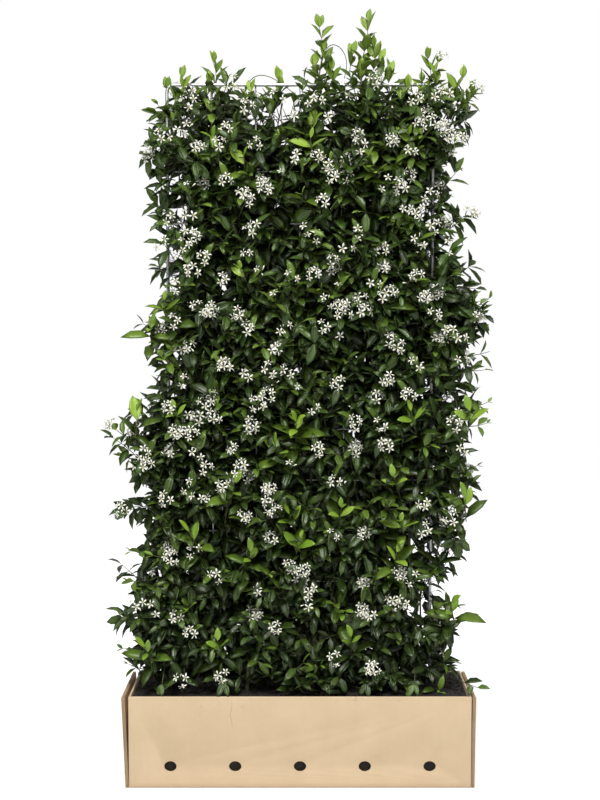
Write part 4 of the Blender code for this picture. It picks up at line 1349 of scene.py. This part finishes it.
def make_crumbs(half, depth):
    """Loose crumbs that lie on the bed."""
    rng = random.Random(8)
    deselect()
    bpy.ops.mesh.primitive_ico_sphere_add(subdivisions=1, radius=1)
    crumb = just_made("crumb")
    for v in crumb.data.vertices:
        v.co *= 1 + 0.35 * noise.noise(v.co * 1.7)
    pattern = read_pattern(crumb)
    bundle = Bundle()
    margin = 0.006
    for _ in range(CRUMBS):
        x, y = rng.uniform(-half + margin, half - margin), rng.uniform(-depth + margin, depth - margin)
        size = rng.uniform(*CRUMB_SIZE)
        lump = noise.noise(Vector((x, y, BED_TOP)) * 18) * 0.006
        z = BED_TOP + lump + size * 0.3 + mound_at(x, y)
        turn = Matrix.Rotation(rng.uniform(0, 6), 4, (rng.random(), rng.random(), 1))
        stretch = Matrix.Diagonal((size * rng.uniform(0.8, 1.8), size, size * rng.uniform(0.6, 1.0), 1))
        bundle.stamp(pattern, Matrix.Translation((x, y, z)) @ turn @ stretch, 0.0, rng.random())
    return bundle.make("compost_crumbs")


def make_compost(material):
    """Crumbly compost filled to the rim."""
    half = TRAY_LENGTH / 2 - TRAY_WALL - SEAT_GAP
    depth = TRAY_DEPTH / 2 - TRAY_WALL - SEAT_GAP
    bed = make_bed(half, depth)
    crumbs = make_crumbs(half, depth)
    dress(bed, material, "compost", "soil")
    dress(crumbs, material, "compost")


def make_hollow():
    deselect()
    bpy.ops.mesh.primitive_cube_add(size=1, location=(0, 0, TRAY_WALL + TRAY_HEIGHT))
    hollow = just_made("hollow")
    hollow.scale = (TRAY_LENGTH - 2 * TRAY_WALL, TRAY_DEPTH - 2 * TRAY_WALL, 2 * TRAY_HEIGHT)
    return hollow


def make_vent(i):
    deselect()
    x = (i - (HOLE_COUNT - 1) / 2) * HOLE_PITCH
    bpy.ops.mesh.primitive_cylinder_add(
        vertices=40, radius=0.5, depth=1, location=(x, 0, HOLE_RISE), rotation=(pi / 2, 0, 0)
    )
    vent = just_made(f"vent_{i}")
    vent.scale = (HOLE_SIZE[0], HOLE_SIZE[1], 2 * TRAY_DEPTH)
    return vent


def cut_away(obj, pieces):
    """Cuts pieces out of a piece and takes them away, with its sharp edges softened a little."""
    cutters = bpy.data.collections.new("cutters")
    bpy.context.scene.collection.children.link(cutters)
    for piece in pieces:
        settle(piece)
        for home in list(piece.users_collection):
            home.objects.unlink(piece)
        cutters.objects.link(piece)
    add_modifier(
        obj, "cut", "BOOLEAN",
        operation="DIFFERENCE", operand_type="COLLECTION", collection=cutters, solver="EXACT",
    )
    add_modifier(
        obj, "cut_edges", "BEVEL",
        width=CUT_EDGE, segments=2, limit_method="ANGLE", angle_limit=radians(50),
    )
    apply_all(obj)
    for piece in pieces:
        bpy.data.objects.remove(piece)
    bpy.data.collections.remove(cutters)


def make_tray(material):
    """The board tray: a hollow box with soft corners and cut vent holes."""
    deselect()
    bpy.ops.mesh.primitive_cube_add(size=1, location=(0, 0, TRAY_HEIGHT / 2))
    tray = just_made("tray")
    bpy.ops.transform.resize(value=(TRAY_LENGTH, TRAY_DEPTH, TRAY_HEIGHT))
    settle(tray)
    add_modifier(tray, "corners", "BEVEL", width=TRAY_CORNER, segments=3)
    apply_all(tray)
    cut_away(tray, [make_hollow()] + [make_vent(i) for i in range(HOLE_COUNT)])
    tray.data.shade_smooth()
    pick(tray)
    bpy.ops.object.shade_smooth_by_angle(angle=radians(35))
    dress(tray, material, "cardboard", "planter_tray")


def make_liner(k, x):
    """A flat sheet of an end panel."""
    deselect()
    bpy.ops.mesh.primitive_cube_add(size=1, location=(x, 0, END_HEIGHT / 2))
    liner = just_made(f"liner_{k}")
    bpy.ops.transform.resize(value=(LINER, TRAY_DEPTH, END_HEIGHT))
    settle(liner)
    open_mesh()
    bpy.ops.mesh.subdivide(number_cuts=11)
    close_mesh()
    return liner


def make_fluting(k, x, swing):
    """A wavy sheet of an end panel, which touches the liners on both sides."""
    deselect()
    steps = round(END_HEIGHT / FLUTE_PITCH) * 8
    bpy.ops.mesh.primitive_grid_add(x_subdivisions=1, y_subdivisions=steps, size=1)
    sheet = just_made(f"fluting_{k}")
    for v in sheet.data.vertices:
        y, z = v.co.x * (TRAY_DEPTH - 0.001), (v.co.y + 0.5) * END_HEIGHT
        v.co = (x + swing * sin(2 * pi * z / FLUTE_PITCH + k), y, z)
    add_modifier(sheet, "paper", "SOLIDIFY", thickness=PAPER, offset=0)
    apply_all(sheet)
    return sheet


def make_end(side, material):
    """An end panel of double-wall board: three liners with two fluted sheets between them."""
    sign = -1 if side == "left" else 1
    inner = TRAY_LENGTH / 2 + SEAT_GAP
    room = (END_WALL - 3 * LINER) / 2
    pieces = [make_liner(k, inner + LINER / 2 + k * (LINER + room)) for k in range(3)]
    for k in range(2):
        middle = inner + LINER + room / 2 + k * (LINER + room)
        pieces.append(make_fluting(k, middle, room / 2 - PAPER / 2))
    pick(*pieces)
    bpy.ops.object.join()
    panel = just_made(f"end_panel_{side}")
    for v in panel.data.vertices:
        x, y, z = v.co
        ragged = RAGGED * noise.noise(Vector((3, y * 60, 1))) if z > END_HEIGHT - 0.001 else 0.0
        bow = 0.0012 * sin(pi * z / END_HEIGHT) * (y / TRAY_DEPTH)
        v.co = (sign * (x + END_SPLAY[side] * z / TRAY_HEIGHT + max(0.0, bow)), y, z + min(0.0, ragged))
    pick(panel)
    if sign < 0:
        open_mesh()
        bpy.ops.mesh.flip_normals()
        close_mesh()
    bpy.ops.object.shade_smooth_by_angle(angle=radians(40))
    dress(panel, material, "cardboard_end", f"planter_end_{side}")


# Studio


def put_in_scene(name, data, place=(0, 0, 0)):
    made = bpy.data.objects.new(name, data)
    made.location = place
    bpy.context.scene.collection.objects.link(made)
    return made


def aim(direction):
    return Vector(direction).to_track_quat("-Z", "Y").to_euler()


def make_floor():
    """A wide pale floor just below the planter."""
    deselect()
    bpy.ops.mesh.primitive_plane_add(size=1)
    floor = just_made("floor")
    floor.scale = (*FLOOR_SIZE, 1)
    floor.location = (0, 1, -0.0002)
    settle(floor)
    pale, n, shader = new_material("pale_floor")
    cloud = n.spread(n.clouds(n.place(), 3.0), 0.3, 0.7)
    n.put(shader.inputs["Base Color"], n.mix(cloud, colour(0.93, 0.93, 0.93), colour(0.95, 0.95, 0.95)))
    shader.inputs["Roughness"].default_value = 0.9
    floor.data.materials.append(pale)


def make_sky():
    """A soft even sky, plain white where the camera sees it."""
    world = bpy.data.worlds.new("studio")
    bpy.context.scene.world = world
    world.use_nodes = True
    n = Nodes(world.node_tree)
    sky = world.node_tree.nodes["Background"]
    sky.inputs["Color"].default_value = colour(1.0, 1.0, 1.0)
    seen = n.add("LightPath").outputs["Is Camera Ray"]
    n.put(sky.inputs["Strength"], n.spread(seen, 0.0, 1.0, SKY_STRENGTH, 1.0))


def make_lights():
    """A hazy sun from the upper left and three large soft lights."""
    day = bpy.data.lights.new("day", "SUN")
    day.energy = SUN_STRENGTH
    day.angle = radians(SUN_ANGLE)
    put_in_scene("day", day).rotation_euler = aim(SUN_DIRECTION)
    for name, place, size, power in SOFT_LIGHTS:
        lamp = bpy.data.lights.new(name, "AREA")
        lamp.size = size
        lamp.energy = power
        put_in_scene(name, lamp, place).rotation_euler = aim(Vector(LIGHTS_AIM) - Vector(place))


def make_camera():
    lens = bpy.data.cameras.new("camera")
    lens.lens = LENS
    lens.sensor_width = SENSOR
    camera = put_in_scene("camera", lens, CAMERA_PLACE)
    camera.rotation_euler = (radians(90 - CAMERA_TILT), 0, 0)
    bpy.context.scene.camera = camera
    bpy.context.scene.view_settings.view_transform = "Standard"


make_floor()
make_sky()
make_lights()
make_camera()
make_plants()
make_wire_frame(galvanised_material())
make_compost(compost_material())
KRAFT = cardboard_material("kraft_board", colour(0.450, 0.338, 0.212), colour(0.492, 0.372, 0.240), True)
make_tray(KRAFT)
END_BOARD = cardboard_material("end_board", colour(0.41, 0.28, 0.16), colour(0.52, 0.38, 0.24), False)
make_end("left", END_BOARD)
make_end("right", END_BOARD)
bpy.context.view_layer.update()
